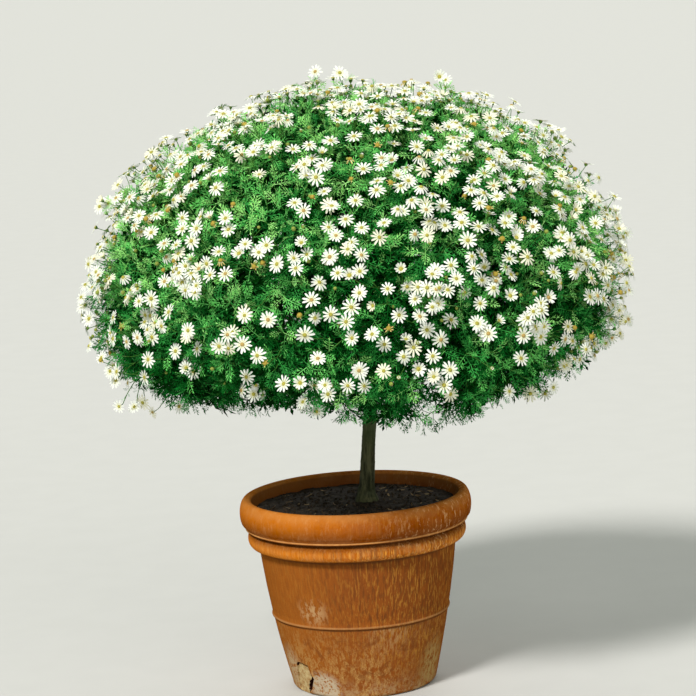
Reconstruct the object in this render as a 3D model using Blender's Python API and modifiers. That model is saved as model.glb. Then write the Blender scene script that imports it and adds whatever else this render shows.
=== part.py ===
"""A marguerite daisy grown as a small tree with one bare trunk, in a double-rimmed terracotta pot.

Metres, +Z up. The origin is the middle of the pot's flat underside. Run it with
blender --background --python part.py, or from Blender's text editor.
"""

import math
import random

import bmesh
import bpy
from mathutils import Matrix, Vector

TOUCH_GAP = 0.0003  # between two pieces that rest on or grow out of each other
WELD = 0.00001

# Pot: a roll at the rim, a smaller roll under it, and a thin ring round the body
POT_HEIGHT = 0.420
RIM_RADIUS = 0.2525  # outermost, on the roll
RIM_MOUTH_RADIUS = 0.2270
RIM_ROLL_HEIGHT = 0.066
LIP_RADIUS = 0.2400  # lower edge of the roll
COLLAR_RADIUS = 0.2380
COLLAR_HEIGHT = 0.042
BODY_TOP_RADIUS = 0.2130
BODY_TOP_LEVEL = 0.300
RING_LEVEL = 0.163
RING_HALF_HEIGHT = 0.0045
RING_THICKNESS = 0.003
BASE_RADIUS = 0.1555
BASE_ROUNDING = 0.010
BODY_BELLY = 0.0055  # how far the side bows out between base and collar
WALL = 0.018
FLOOR_THICKNESS = 0.022
SHOULDER_FOOT, SHOULDER_TOP = 0.290, 0.330  # where the inside widens into the rim
POT_STEPS = 36

# Damage at the foot of the pot, at the front left: a flake gone from the surface, and a crack
SPALL_AZIMUTH = math.radians(210)
SPALL_WIDTH = 0.054
SPALL_HEIGHT = 0.070
SPALL_DEPTH = 0.005
SPALL_CORNERS = 9
SIDE_SLOPE = math.radians(12)  # of the pot's side there, from upright
CRACK_AZIMUTH = math.radians(220)
CRACK_WIDTH = 0.0035
CRACK_HEIGHT = 0.032
CRACK_DEPTH = 0.010

# Soil
SOIL_EDGE_RADIUS = RIM_MOUTH_RADIUS - 0.006  # the pot's inner radius there
SOIL_LEVEL = 0.396  # where the trunk stands
SOIL_EDGE_LEVEL = 0.392
SOIL_MOUND = 0.0035  # how much higher it lies halfway to the edge

# Trunk: leans towards +X, swells into a head where the boughs leave, and ends in a leader
TRUNK_FOOT_X = 0.0255
TRUNK_LEAN = 0.100  # sideways per metre of height
TRUNK_RADIUS = 0.0165
FOOT_RADIUS = 0.0270
HEAD_RADIUS = 0.0190
HEAD_LEVEL = 0.690
TRUNK_TOP = 0.775
TRUNK_TOP_RADIUS = 0.0090
TRUNK_SIDES_RESOLUTION = 4  # 12 sides

# Crown: a dome, widest at its centre's level and drawn in below it
CROWN_CENTRE = Vector((0.028, 0.0, 0.822))
CROWN_RADIUS = 0.606
CROWN_RISE = 0.506
CROWN_DROP = 0.235
CROWN_FULLNESS = 2.15  # 2 is an ellipse, more is squarer
CROWN_LOBE = 0.018  # how far its outline waves in and out
CORE_INNER, CORE_OUTER = 0.52, 0.86  # shares of the way from centre to outline
BOUGH_END = 0.47

# Masses: one on top, a ring round it and a ring at the sides
TOP_EDGE = math.radians(61)
UPPER_EDGE = math.radians(28)
LOWER_EDGE = math.radians(-54)
UPPER_MASSES, LOWER_MASSES = 5, 8
CELL_GAP = 0.003  # from a mass's furthest leaf to the edge of its space
CORE_GAP = 0.007
CORE_SQUARENESS = 0.42  # 1 leaves it round, less is squarer
CORE_LUMPS = 0.11

# Boughs
BOUGH_RADIUS, BOUGH_TIP_RADIUS = 0.0066, 0.0042
BOUGH_POINTS = 5
# How far above the middle of the head a ring's boughs leave, and how steeply
UPPER_LEAVE, LOWER_LEAVE = (0.044, 0.55), (-0.012, 0.18)
BOUGH_STAGGER = 0.013  # between the three heights that a ring's boughs leave from in turn
STEM_TIP_RADIUS = 0.0030

# Sprays: a three-sided twig with a whorl of leaves round it and a daisy at its tip. The whorl and
# the daisy hang on beside the twig's axis, so that it goes through few of their faces.
DAISY_COUNT = 76
DAISY_RADIUS = 0.029
DAISY_NOTCH = 0.46  # how far in the gap between two rays goes, as a share of the radius
DAISY_RISE = 0.002
DAISY_APEXES = (-0.006, 0.006)
DAISY_ASIDE = 0.006
RAYS = 7
TWIG_RADIUS, TWIG_TIP_RADIUS = 0.0034, 0.0020
WHORL_RADIUS = 0.094
WHORL_NOTCH = 0.24
WHORL_RISE = 0.034
WHORL_APEXES = (-0.005, 0.004)
WHORL_ASIDE = 0.013
WHORL_LEAVES = 5
WHORL_COUNT = 60  # on short twigs of their own, between the daisies
SHORT_TWIG = 0.06
WHORL_SHARES = (0.895, 0.945)  # of the way from the crown's centre to its outline
WHORL_BEHIND = (0.024, 0.040)  # from a daisy back to its twig's whorl
WHORL_TURN = 1.3  # of the whorls' pattern about the axis from the daisies', in radians
LOWEST_SPRAY = 0.78  # of the crown's drop below its centre
GOLDEN_TURN = math.pi * (3 - math.sqrt(5))
SEED = 7


def clear_scene():
    for obj in list(bpy.data.objects):
        bpy.data.objects.remove(obj, do_unlink=True)


def new_collection(name, hidden=False):
    found = bpy.data.collections.new(name)
    bpy.context.scene.collection.children.link(found)
    found.hide_render = hidden
    return found


def make_material(name, colour, roughness):
    material = bpy.data.materials.new(name)
    material.use_nodes = True
    shader = material.node_tree.nodes["Principled BSDF"]
    shader.inputs["Base Color"].default_value = (*colour, 1)
    shader.inputs["Roughness"].default_value = roughness
    shader.inputs["Metallic"].default_value = 0
    material.diffuse_color = (*colour, 1)
    return material


def add_mesh(name, work, material, collection):
    """The bmesh as a named object, which is freed here."""
    mesh = bpy.data.meshes.new(name)
    work.to_mesh(mesh)
    work.free()
    mesh.materials.append(material)
    obj = bpy.data.objects.new(name, mesh)
    collection.objects.link(obj)
    return obj


def make_cutter(obj):
    obj.hide_render = True
    obj.display_type = "WIRE"


def bake_modifiers(obj):
    """Gives the object the mesh that its modifiers make, and drops them."""
    graph = bpy.context.evaluated_depsgraph_get()
    old = obj.data
    obj.data = bpy.data.meshes.new_from_object(obj.evaluated_get(graph))
    obj.modifiers.clear()
    bpy.data.meshes.remove(old)


def boolean(obj, operation, other):
    modifier = obj.modifiers.new(operation.title(), "BOOLEAN")
    modifier.operation = operation
    modifier.solver = "EXACT"
    modifier.material_mode = "TRANSFER"
    if isinstance(other, bpy.types.Collection):
        modifier.operand_type = "COLLECTION"
        modifier.collection = other
    else:
        modifier.object = other
    return modifier


def arc(centre, radius, start, end, count):
    """Points on an ellipse round centre, radius being its two half-axes and the angles in degrees."""
    found = []
    for i in range(count):
        angle = math.radians(start + (end - start) * i / (count - 1))
        found.append(
            (centre[0] + radius[0] * math.cos(angle), centre[1] + radius[1] * math.sin(angle))
        )
    return found


def turned(name, profile, steps, material, collection):
    """A solid of revolution, from a profile that runs down its outer side."""
    work = bmesh.new()
    points = [work.verts.new((radius, 0, level)) for radius, level in profile]
    for a, b in zip(points, points[1:]):
        work.edges.new((a, b))
    obj = add_mesh(name, work, material, collection)
    screw = obj.modifiers.new("Turn", "SCREW")
    screw.axis = "Z"
    screw.steps = screw.render_steps = steps
    screw.use_merge_vertices = True
    screw.merge_threshold = WELD
    return obj


def body_radius(level):
    """The pot's outer radius on its plain side, between the base and the collar."""
    share = level / BODY_TOP_LEVEL
    return (
        BASE_RADIUS
        + (BODY_TOP_RADIUS - BASE_RADIUS) * share
        + 4 * BODY_BELLY * share * (1 - share)
    )


def inner_radius(level):
    return body_radius(level) - WALL


def pot_profile():
    """The outside from the crest of the rim down to the middle of the underside, and the inside."""
    roll_half = RIM_ROLL_HEIGHT / 2
    crest = RIM_MOUTH_RADIUS + 0.011
    lip_level = POT_HEIGHT - RIM_ROLL_HEIGHT
    collar_middle = lip_level - COLLAR_HEIGHT / 2
    ring_top, ring_foot = RING_LEVEL + RING_HALF_HEIGHT, RING_LEVEL - RING_HALF_HEIGHT
    ring_crest = body_radius(RING_LEVEL) + RING_THICKNESS
    outside = arc((crest, POT_HEIGHT - roll_half), (RIM_RADIUS - crest, roll_half), 90, -40, 8)
    outside += [(LIP_RADIUS + 0.0025, lip_level + 0.005), (LIP_RADIUS + 0.001, lip_level)]
    outside += [(COLLAR_RADIUS - 0.008, lip_level - 0.001)]
    outside += arc(
        (COLLAR_RADIUS - 0.014, collar_middle), (0.014, COLLAR_HEIGHT / 2 - 0.003), 70, -75, 7
    )
    outside += [(body_radius(level), level) for level in (BODY_TOP_LEVEL, 0.23, ring_top)]
    outside += [(ring_crest, RING_LEVEL + 0.0025), (ring_crest, RING_LEVEL - 0.0015)]
    outside += [(body_radius(level), level) for level in (ring_foot, 0.08)]
    outside += arc(
        (body_radius(BASE_ROUNDING) - BASE_ROUNDING, BASE_ROUNDING),
        (BASE_ROUNDING, BASE_ROUNDING),
        0,
        -90,
        4,
    )
    inside = [(0, FLOOR_THICKNESS), (inner_radius(FLOOR_THICKNESS), FLOOR_THICKNESS)]
    inside += [(inner_radius(level), level) for level in (RING_LEVEL, SHOULDER_FOOT)]
    inside += [(SOIL_EDGE_RADIUS, SHOULDER_TOP), (SOIL_EDGE_RADIUS, SOIL_EDGE_LEVEL)]
    inside += [(RIM_MOUTH_RADIUS, POT_HEIGHT - 0.006)]
    return outside + [(0, 0)], inside


def make_pot(collection, cutters, material):
    outside, inside = pot_profile()
    pot = turned("pot", inside + outside, POT_STEPS, material, collection)
    pot.data.shade_smooth()
    chance = random.Random(SEED)
    work = bmesh.new()
    bmesh.ops.create_cone(
        work, cap_ends=True, segments=SPALL_CORNERS, radius1=0.5, radius2=0.5, depth=1
    )
    for vert in work.verts:
        vert.co.xy *= 1 + 0.15 * chance.uniform(-1, 1)
    spall = add_mesh("spall_cutter", work, material, cutters)
    work = bmesh.new()
    bmesh.ops.create_cube(work, size=1)
    crack = add_mesh("crack_cutter", work, material, cutters)
    for cutter, height, width, depth, azimuth, middle, turn in (
        (spall, SPALL_HEIGHT, SPALL_WIDTH, SPALL_DEPTH, SPALL_AZIMUTH, SPALL_HEIGHT * 0.42, 0.15),
        (crack, CRACK_HEIGHT, CRACK_WIDTH, CRACK_DEPTH, CRACK_AZIMUTH, CRACK_HEIGHT * 0.6, -0.1),
    ):
        cutter.data.transform(
            Matrix.Rotation(azimuth, 4, "Z")
            @ Matrix.Translation((body_radius(middle), 0, middle))
            @ Matrix.Rotation(math.pi / 2 + SIDE_SLOPE, 4, "Y")
            @ Matrix.Rotation(turn, 4, "Z")
            @ Matrix.Diagonal((height, width, 2 * depth, 1))
        )
        make_cutter(cutter)
        boolean(pot, "DIFFERENCE", cutter)


def make_soil(collection, material):
    """The potting soil, a shallow mound that fills the pot to just under its rim."""
    foot = FLOOR_THICKNESS + TOUCH_GAP
    flat = FOOT_RADIUS + 0.008
    edge = SOIL_EDGE_RADIUS - TOUCH_GAP
    profile = [(0, SOIL_LEVEL), (flat, SOIL_LEVEL)]
    profile.append((flat + (edge - flat) / 2, SOIL_EDGE_LEVEL + SOIL_MOUND))
    profile += [(edge, SOIL_EDGE_LEVEL), (edge, SHOULDER_TOP + 2 * TOUCH_GAP)]
    profile += [(inner_radius(SHOULDER_FOOT) - TOUCH_GAP, SHOULDER_FOOT + 2 * TOUCH_GAP)]
    profile += [(inner_radius(RING_LEVEL) - TOUCH_GAP, RING_LEVEL)]
    profile += [(inner_radius(FLOOR_THICKNESS) - TOUCH_GAP, foot), (0, foot)]
    turned("soil", profile, POT_STEPS, material, collection)


def tube(name, points, radii, resolution, material, collection):
    """A tapering limb through the points, as a mesh with flat ends."""
    curve = bpy.data.curves.new(name, "CURVE")
    curve.dimensions = "3D"
    curve.bevel_depth = 1
    curve.bevel_resolution = resolution
    curve.use_fill_caps = True
    spline = curve.splines.new("POLY")
    spline.points.add(len(points) - 1)
    for at, point, radius in zip(spline.points, points, radii):
        at.co = (*point, 1)
        at.radius = radius
    guide = bpy.data.objects.new(name + "_guide", curve)
    collection.objects.link(guide)
    graph = bpy.context.evaluated_depsgraph_get()
    mesh = bpy.data.meshes.new_from_object(guide.evaluated_get(graph))
    matrix = guide.matrix_world.copy()
    bpy.data.objects.remove(guide, do_unlink=True)
    bpy.data.curves.remove(curve)
    work = bmesh.new()
    work.from_mesh(mesh)
    bmesh.ops.remove_doubles(work, verts=work.verts, dist=WELD)
    bmesh.ops.recalc_face_normals(work, faces=work.faces)
    bpy.data.meshes.remove(mesh)
    obj = add_mesh(name, work, material, collection)
    obj.matrix_world = matrix
    return obj


def trunk_axis(level):
    """The middle of the trunk at a height."""
    return Vector((TRUNK_FOOT_X + TRUNK_LEAN * max(level - SOIL_LEVEL - 0.02, 0), 0, level))


def trunk_sections():
    """(height, radius) from the foot to the leader."""
    foot = SOIL_LEVEL + TOUCH_GAP
    return (
        (foot, FOOT_RADIUS),
        (foot + 0.008, FOOT_RADIUS * 0.92),
        (foot + 0.020, FOOT_RADIUS * 0.74),
        (foot + 0.040, TRUNK_RADIUS * 1.07),
        (foot + 0.110, TRUNK_RADIUS),
        (HEAD_LEVEL - 0.065, TRUNK_RADIUS * 0.93),
        (HEAD_LEVEL - 0.035, HEAD_RADIUS * 0.95),
        (HEAD_LEVEL, HEAD_RADIUS),
        (HEAD_LEVEL + 0.035, HEAD_RADIUS * 0.9),
        (TRUNK_TOP - 0.025, TRUNK_TOP_RADIUS * 1.25),
        (TRUNK_TOP, TRUNK_TOP_RADIUS),
    )


def make_trunk(collection, cutters, material):
    """The trunk, and a cutter a little fatter than it that shapes the boughs' roots."""
    levels, radii = zip(*trunk_sections())
    points = [trunk_axis(level) for level in levels]
    tube("trunk", points, radii, TRUNK_SIDES_RESOLUTION, material, collection)
    fatter = [radius + TOUCH_GAP for radius in radii]
    up = (points[-1] - points[-2]).normalized()
    points = points[:-1] + [points[-1] + up * TOUCH_GAP]
    cutter = tube("trunk_cutter", points, fatter, TRUNK_SIDES_RESOLUTION, material, cutters)
    make_cutter(cutter)
    return cutter


def crown_point(azimuth, rise, share):
    """A point in the crown, share being 0 at its centre and 1 at its outline."""
    reach = abs(math.cos(rise)) ** (2 / CROWN_FULLNESS) * CROWN_RADIUS
    level = abs(math.sin(rise)) ** (2 / CROWN_FULLNESS)
    level *= CROWN_RISE if rise > 0 else -CROWN_DROP
    wave = math.sin(3 * azimuth + 0.6) + math.sin(5 * azimuth + 3 * rise - 2)
    share *= 1 + CROWN_LOBE * wave * math.cos(rise)
    return CROWN_CENTRE + share * Vector(
        (reach * math.cos(azimuth), reach * math.sin(azimuth), level)
    )


def crown_place(point):
    """The azimuth and rise of a point, and its share of the way out."""
    x, y, z = point - CROWN_CENTRE
    reach = (math.hypot(x, y) / CROWN_RADIUS) ** (CROWN_FULLNESS / 2)
    level = (abs(z) / (CROWN_RISE if z > 0 else CROWN_DROP)) ** (CROWN_FULLNESS / 2)
    azimuth, rise = math.atan2(y, x), math.copysign(math.atan2(level, reach), z)
    outline = crown_point(azimuth, rise, 1)
    return azimuth, rise, (point - CROWN_CENTRE).length / (outline - CROWN_CENTRE).length


class Space:
    """The part of the crown that one mass keeps to: a span of azimuth and a span of rise."""

    def __init__(self, name, azimuth, half_turn, low, high):
        self.name, self.azimuth, self.half_turn = name, azimuth, half_turn
        self.low, self.high = low, high

    @property
    def whole_turn(self):
        return self.half_turn >= math.pi

    def turn_from_middle(self, azimuth):
        return (azimuth - self.azimuth + math.pi) % (2 * math.pi) - math.pi

    def holds(self, point, margin):
        azimuth, rise, share = crown_place(point)
        reach = math.hypot(*(point - CROWN_CENTRE).xy)
        distance = (point - CROWN_CENTRE).length
        if share > 1.003 or rise < self.low + margin / distance:
            return False
        if not self.whole_turn:
            if rise > self.high - margin / distance:
                return False
            turn = abs(self.turn_from_middle(azimuth))
            return (self.half_turn - turn) * reach > margin
        return True

    def at(self, across, up, share):
        """A point from two coordinates that run from -1 to 1 over the space."""
        if self.whole_turn:
            tilt = min(math.hypot(across, up), 1) * (math.pi / 2 - self.low)
            return crown_point(math.atan2(up, across), math.pi / 2 - tilt, share)
        rise = (self.low + self.high) / 2 + up * (self.high - self.low) / 2
        return crown_point(self.azimuth + across * self.half_turn, rise, share)

    def middle(self, share):
        return self.at(0, 0, share)


def spaces():
    found = [Space("top", 0, math.pi, TOP_EDGE, math.pi / 2)]
    for name, count, low, high in (
        ("upper", UPPER_MASSES, UPPER_EDGE, TOP_EDGE),
        ("lower", LOWER_MASSES, LOWER_EDGE, UPPER_EDGE),
    ):
        for i in range(count):
            azimuth = 2 * math.pi * i / count - math.pi / 2
            found.append(Space(f"{name}_{i + 1}", azimuth, math.pi / count, low, high))
    return found


def lattice(count, lowest, turn):
    """(azimuth, rise) pairs spread evenly over the crown above the lowest height."""
    found = []
    bottom, top = lowest, CROWN_CENTRE.z + CROWN_RISE
    for i in range(count):
        level = bottom + (top - bottom) * (i + 0.5) / count - CROWN_CENTRE.z
        tall = level / (CROWN_RISE if level > 0 else CROWN_DROP)
        rise = math.copysign(math.asin(min(abs(tall) ** (CROWN_FULLNESS / 2), 1)), level)
        found.append((i * GOLDEN_TURN + turn, rise))
    return found


def settled(space, azimuth, rise, share, margin):
    """The point on the crown, drawn towards its space's middle until it keeps its margin."""
    middle = space.middle(share)
    point = crown_point(azimuth, rise, share)
    for _ in range(40):
        if space.holds(point, margin):
            return point
        azimuth, rise, _ = crown_place(point.lerp(middle, 0.06))
        point = crown_point(azimuth, rise, share)
    return None


def owner(all_spaces, azimuth, rise):
    point = crown_point(azimuth, rise, 0.9)
    for space in all_spaces:
        if space.holds(point, 0):
            return space
    return None


def bough_start(space, end):
    """Where on the trunk's axis a bough begins, the direction it leaves in, and its radius."""
    if space.whole_turn:
        start = trunk_axis(TRUNK_TOP - 0.004)
        return start, trunk_axis(TRUNK_TOP) - trunk_axis(HEAD_LEVEL), TRUNK_TOP_RADIUS * 0.93
    ring, number = space.name.split("_")
    above, steepness = UPPER_LEAVE if ring == "upper" else LOWER_LEAVE
    start = trunk_axis(HEAD_LEVEL + above + BOUGH_STAGGER * (int(number) % 3 - 1))
    flat = (end - start).xy.normalized()
    return start, Vector((*flat, steepness)), BOUGH_RADIUS


def make_bough(space, trunk_cutter, collection, material):
    """One limb from the trunk's head to its mass, and the point and direction it ends in."""
    end = space.middle(BOUGH_END)
    start, leave, radius = bough_start(space, end)
    reach = (end - start).length
    out = start + leave.normalized() * reach * 0.38
    back = end - (space.middle(1) - CROWN_CENTRE).normalized() * reach * 0.30
    points, radii = [], []
    for i in range(BOUGH_POINTS):
        t = i / (BOUGH_POINTS - 1)
        near, far = start.lerp(out, t), back.lerp(end, t)
        bend = out.lerp(back, t)
        points.append(near.lerp(bend, t).lerp(bend.lerp(far, t), t))
        radii.append(radius + (BOUGH_TIP_RADIUS - radius) * t)
    bough = tube("bough_" + space.name, points, radii, 1, material, collection)
    boolean(bough, "DIFFERENCE", trunk_cutter)
    bake_modifiers(bough)
    return end, (points[-1] - points[-2]).normalized()


def core_of(space, chance, material, collection):
    """The closed, lumpy heart of a mass, squared off so that it fills its space."""
    work = bmesh.new()
    bmesh.ops.create_uvsphere(work, u_segments=10, v_segments=6, radius=1)
    lay_down = Matrix.Rotation(math.pi / 2, 3, "X")
    bmesh.ops.rotate(work, cent=(0, 0, 0), matrix=lay_down, verts=work.verts)
    half = (CORE_OUTER - CORE_INNER) / 2
    for vert in work.verts:
        across, out, up = (math.copysign(abs(c) ** CORE_SQUARENESS, c) for c in vert.co)
        lump = 1 - CORE_LUMPS * chance.random()
        share = (CORE_OUTER + CORE_INNER) / 2 + half * out * lump
        point = space.at(across, up, share)
        middle = space.middle(share)
        for _ in range(60):
            if space.holds(point, CORE_GAP):
                break
            point = point.lerp(middle, 0.03)
        vert.co = point
    bmesh.ops.triangulate(work, faces=work.faces)
    bmesh.ops.recalc_face_normals(work, faces=work.faces)
    return add_mesh("foliage_" + space.name, work, material, collection)


def aim(direction, roll):
    """A rotation that turns +Z to the direction, and then rolls about it."""
    return direction.to_track_quat("Z", "Y").to_matrix().to_4x4() @ Matrix.Rotation(roll, 4, "Z")


def twig_of(start, end, radius, tip_radius, material, collection):
    work = bmesh.new()
    length = (end - start).length
    bmesh.ops.create_cone(
        work, cap_ends=True, segments=3, radius1=radius, radius2=tip_radius, depth=length
    )
    bmesh.ops.transform(
        work,
        matrix=Matrix.Translation((start + end) / 2) @ aim(end - start, 0),
        verts=work.verts,
    )
    return add_mesh("twig", work, material, collection)


def star(name, space, matrix, points, radius, notch, rise, apexes, material, helpers):
    """A flat star of leaves or rays that rises to its tips, each drawn in until it keeps to its space."""
    work = bmesh.new()
    bmesh.ops.create_uvsphere(work, u_segments=2 * points, v_segments=2, radius=1)
    for vert in work.verts:
        if abs(vert.co.z) > 0.5:
            vert.co.z = apexes[vert.co.z > 0]
            continue
        outward = vert.co.copy()
        is_notch = round(math.atan2(outward.y, outward.x) / (math.pi / points)) % 2
        reach = radius * (notch if is_notch else 1)
        vert.co = outward * reach
        vert.co.z = 0 if is_notch else rise
        while reach > radius * notch and not space.holds(matrix @ vert.co, CELL_GAP):
            reach *= 0.9
            vert.co = outward * reach
            vert.co.z = rise * reach / radius
    bmesh.ops.transform(work, matrix=matrix, verts=work.verts)
    return add_mesh(name, work, material, helpers)


def add_whorl(space, point, axis, roll, radius, material, helpers):
    aside = Matrix.Translation((WHORL_ASIDE, 0, 0))
    matrix = Matrix.Translation(point) @ aim(axis, roll) @ aside
    star("whorl", space, matrix, WHORL_LEAVES, radius, WHORL_NOTCH,
         WHORL_RISE * radius / WHORL_RADIUS, WHORL_APEXES, material, helpers)


def add_daisy(space, tip, face, roll, material, helpers):
    aside = Matrix.Translation((DAISY_ASIDE, 0, 0))
    matrix = Matrix.Translation(tip) @ aim(face, roll) @ aside
    star("daisy", space, matrix, RAYS, DAISY_RADIUS, DAISY_NOTCH, DAISY_RISE, DAISY_APEXES,
         material, helpers)


def keep_outer_shell(obj):
    """Leaves only the largest shell, so a hollow that fusing sealed is filled."""
    work = bmesh.new()
    work.from_mesh(obj.data)
    left, shells = set(work.faces), []
    while left:
        shell, edge = set(), [left.pop()]
        while edge:
            face = edge.pop()
            shell.add(face)
            for side in face.edges:
                for other in side.link_faces:
                    if other in left:
                        left.remove(other)
                        edge.append(other)
        shells.append(shell)
    shells.sort(key=len)
    for shell in shells[:-1]:
        bmesh.ops.delete(work, geom=list(shell), context="FACES")
    work.to_mesh(obj.data)
    work.free()


def make_mass(space, bough_end, bough_direction, daisies, whorls, collection, materials):
    """One mass: its core, a stem that goes on from the bough, and sprays, fused into one solid."""
    chance = random.Random(f"{SEED} {space.name}")
    core = core_of(space, chance, materials["foliage"], collection)
    helpers = new_collection("sprays_" + space.name)
    stem_start = bough_end + bough_direction * TOUCH_GAP
    stem_end = space.middle((CORE_INNER + CORE_OUTER) / 2)
    tube(
        "stem",
        [stem_start, stem_start + bough_direction * 0.02, stem_end],
        [BOUGH_TIP_RADIUS, BOUGH_TIP_RADIUS * 0.95, STEM_TIP_RADIUS],
        1,
        materials["twig"],
        helpers,
    )
    for azimuth, rise in daisies:
        share = 1 - 0.05 * chance.random()
        tip = settled(space, azimuth, rise, share, DAISY_RADIUS + CELL_GAP)
        if tip is None:
            continue
        root = stem_start.lerp(stem_end, chance.uniform(0.6, 1))
        axis = (tip - root).normalized()
        twig_of(root, tip, TWIG_RADIUS, TWIG_TIP_RADIUS, materials["twig"], helpers)
        face = (tip - CROWN_CENTRE).normalized() + Vector((0, 0, 0.35))
        face += 0.25 * Vector(chance.uniform(-1, 1) for _ in "xyz")
        add_daisy(space, tip, face.normalized(), chance.uniform(0, 6), materials["rays"], helpers)
        point = tip - axis * chance.uniform(*WHORL_BEHIND)
        radius = WHORL_RADIUS * chance.uniform(0.75, 1.0)
        add_whorl(space, point, axis, chance.uniform(0, 6), radius, materials["foliage"], helpers)
    for azimuth, rise in whorls:
        tip = settled(space, azimuth, rise, chance.uniform(*WHORL_SHARES), WHORL_ASIDE + CELL_GAP)
        if tip is None:
            continue
        axis = (tip - CROWN_CENTRE).normalized() + 0.2 * Vector(chance.uniform(-1, 1) for _ in "xyz")
        axis.normalize()
        twig_of(tip - axis * SHORT_TWIG, tip, TWIG_RADIUS, TWIG_TIP_RADIUS, materials["twig"], helpers)
        radius = WHORL_RADIUS * chance.uniform(0.85, 1.15)
        add_whorl(space, tip, axis, chance.uniform(0, 6), radius, materials["foliage"], helpers)
    boolean(core, "UNION", helpers)
    bake_modifiers(core)
    keep_outer_shell(core)
    for helper in list(helpers.objects):
        mesh = helper.data
        bpy.data.objects.remove(helper, do_unlink=True)
        bpy.data.meshes.remove(mesh)
    bpy.data.collections.remove(helpers)


def main():
    clear_scene()
    tree = new_collection("marguerite_tree")
    cutters = new_collection("cutters", hidden=True)
    materials = {
        "terracotta": make_material("terracotta", (0.50, 0.185, 0.065), 0.75),
        "soil": make_material("potting soil", (0.035, 0.024, 0.016), 0.95),
        "bark": make_material("bark", (0.19, 0.125, 0.07), 0.9),
        "twig": make_material("green twig", (0.12, 0.20, 0.05), 0.6),
        "foliage": make_material("foliage", (0.065, 0.17, 0.035), 0.55),
        "rays": make_material("white rays", (0.80, 0.79, 0.70), 0.5),
    }
    make_pot(tree, cutters, materials["terracotta"])
    make_soil(tree, materials["soil"])
    trunk_cutter = make_trunk(tree, cutters, materials["bark"])
    all_spaces = spaces()
    daisies = {space.name: [] for space in all_spaces}
    whorls = {space.name: [] for space in all_spaces}
    lowest = CROWN_CENTRE.z - LOWEST_SPRAY * CROWN_DROP
    for found, count, turn in ((daisies, DAISY_COUNT, 0), (whorls, WHORL_COUNT, WHORL_TURN)):
        for azimuth, rise in lattice(count, lowest, turn):
            space = owner(all_spaces, azimuth, rise)
            if space:
                found[space.name].append((azimuth, rise))
    for space in all_spaces:
        end, direction = make_bough(space, trunk_cutter, tree, materials["bark"])
        make_mass(space, end, direction, daisies[space.name], whorls[space.name], tree, materials)


main()
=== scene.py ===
"""The looks of a marguerite daisy grown as a small tree with one bare trunk, in a terracotta pot.

Metres, +Z up, the origin in the middle of the pot's flat underside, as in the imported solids.
Limbs and masses follow the solids' own rule, carried on to finer twigs, leaves and daisies.
"""

import math

import bmesh
import bpy
import numpy as np
from mathutils import Matrix, Vector, noise


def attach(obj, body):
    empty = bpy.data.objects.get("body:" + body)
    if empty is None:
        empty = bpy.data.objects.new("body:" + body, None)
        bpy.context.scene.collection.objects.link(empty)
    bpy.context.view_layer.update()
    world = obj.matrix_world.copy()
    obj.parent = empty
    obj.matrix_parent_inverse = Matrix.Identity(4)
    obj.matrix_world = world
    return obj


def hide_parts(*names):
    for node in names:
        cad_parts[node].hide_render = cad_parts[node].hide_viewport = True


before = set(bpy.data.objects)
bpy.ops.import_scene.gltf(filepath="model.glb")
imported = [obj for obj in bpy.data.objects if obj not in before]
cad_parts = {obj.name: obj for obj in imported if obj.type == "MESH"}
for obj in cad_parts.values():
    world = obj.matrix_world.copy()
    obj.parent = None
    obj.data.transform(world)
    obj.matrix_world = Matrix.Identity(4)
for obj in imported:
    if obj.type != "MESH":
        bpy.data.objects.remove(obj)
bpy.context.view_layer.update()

SEED = 20
GOLDEN_TURN = math.pi * (3 - math.sqrt(5))
PULL = 0.38  # how far a curve keeps to the way it leaves and arrives, in shares of its length

# The pot, its damage, the soil, the trunk and the crown, much as the solids have them
POT_HEIGHT, POT_TURNS = 0.42, 168
RIM_RADIUS, RIM_MOUTH_RADIUS, RIM_ROLL_HEIGHT = 0.2525, 0.227, 0.066
LIP_RADIUS = 0.24
COLLAR_RADIUS, COLLAR_HEIGHT = 0.238, 0.042
BODY_TOP_RADIUS, BODY_TOP_LEVEL = 0.213, 0.3
RING_LEVEL, RING_HALF_HEIGHT, RING_THICKNESS = 0.163, 0.0045, 0.003
BASE_RADIUS, BASE_ROUNDING = 0.1555, 0.01
BODY_BELLY = 0.0055
WALL = 0.018
SHOULDER_FOOT, SHOULDER_TOP = 0.29, 0.33
EVEN_FOOT, HIDDEN_ROWS = 0.02, 10
LIP_LEVEL = POT_HEIGHT - RIM_ROLL_HEIGHT
# The flake gone from the foot and the crack at its edge, with (across, level) corners on the side
# in tenths of a millimetre
FLAKE_AZIMUTH = math.radians(216)
FLAKE_DEPTH, CRACK_DEPTH = 0.0035, 0.011
FLAKE_OUTLINE = (
    (-83, 684), (10, 722), (252, 668), (298, 438), (205, 330), (103, 217), (110, 86), (80, -30),
    (-210, -30), (-259, 120), (-212, 365),
)
CRACK_OUTLINE = (
    (-110, 650), (-90, 708), (8, 746), (268, 690), (306, 450), (341, 437), (351, 394), (222, 146),
    (120, 60), (103, 217), (207, 330), (281, 430), (240, 652), (6, 707), (-68, 676), (-90, 640),
)
SALT_PATCH, LICHEN_PATCH = (-0.103, -0.168, 0.198), (0.147, -0.086, 0.05)
CHALK_PATCH, SCALE_PATCH = (-0.086, -0.133, 0.02), (-0.151, -0.074, 0.045)
SOIL_EDGE_RADIUS = RIM_MOUTH_RADIUS - 0.006
SOIL_LEVEL, SOIL_EDGE_LEVEL, SOIL_MOUND = 0.396, 0.392, 0.0035
SOIL_RINGS, SOIL_TURNS = 48, 132
CRUMB_COUNT, CHIP_COUNT = 1000, 60
TRUNK_FOOT_X, TRUNK_LEAN = 0.0255, 0.1
TRUNK_RADIUS, FOOT_RADIUS = 0.0165, 0.027
HEAD_RADIUS, HEAD_LEVEL = 0.019, 0.69
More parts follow.
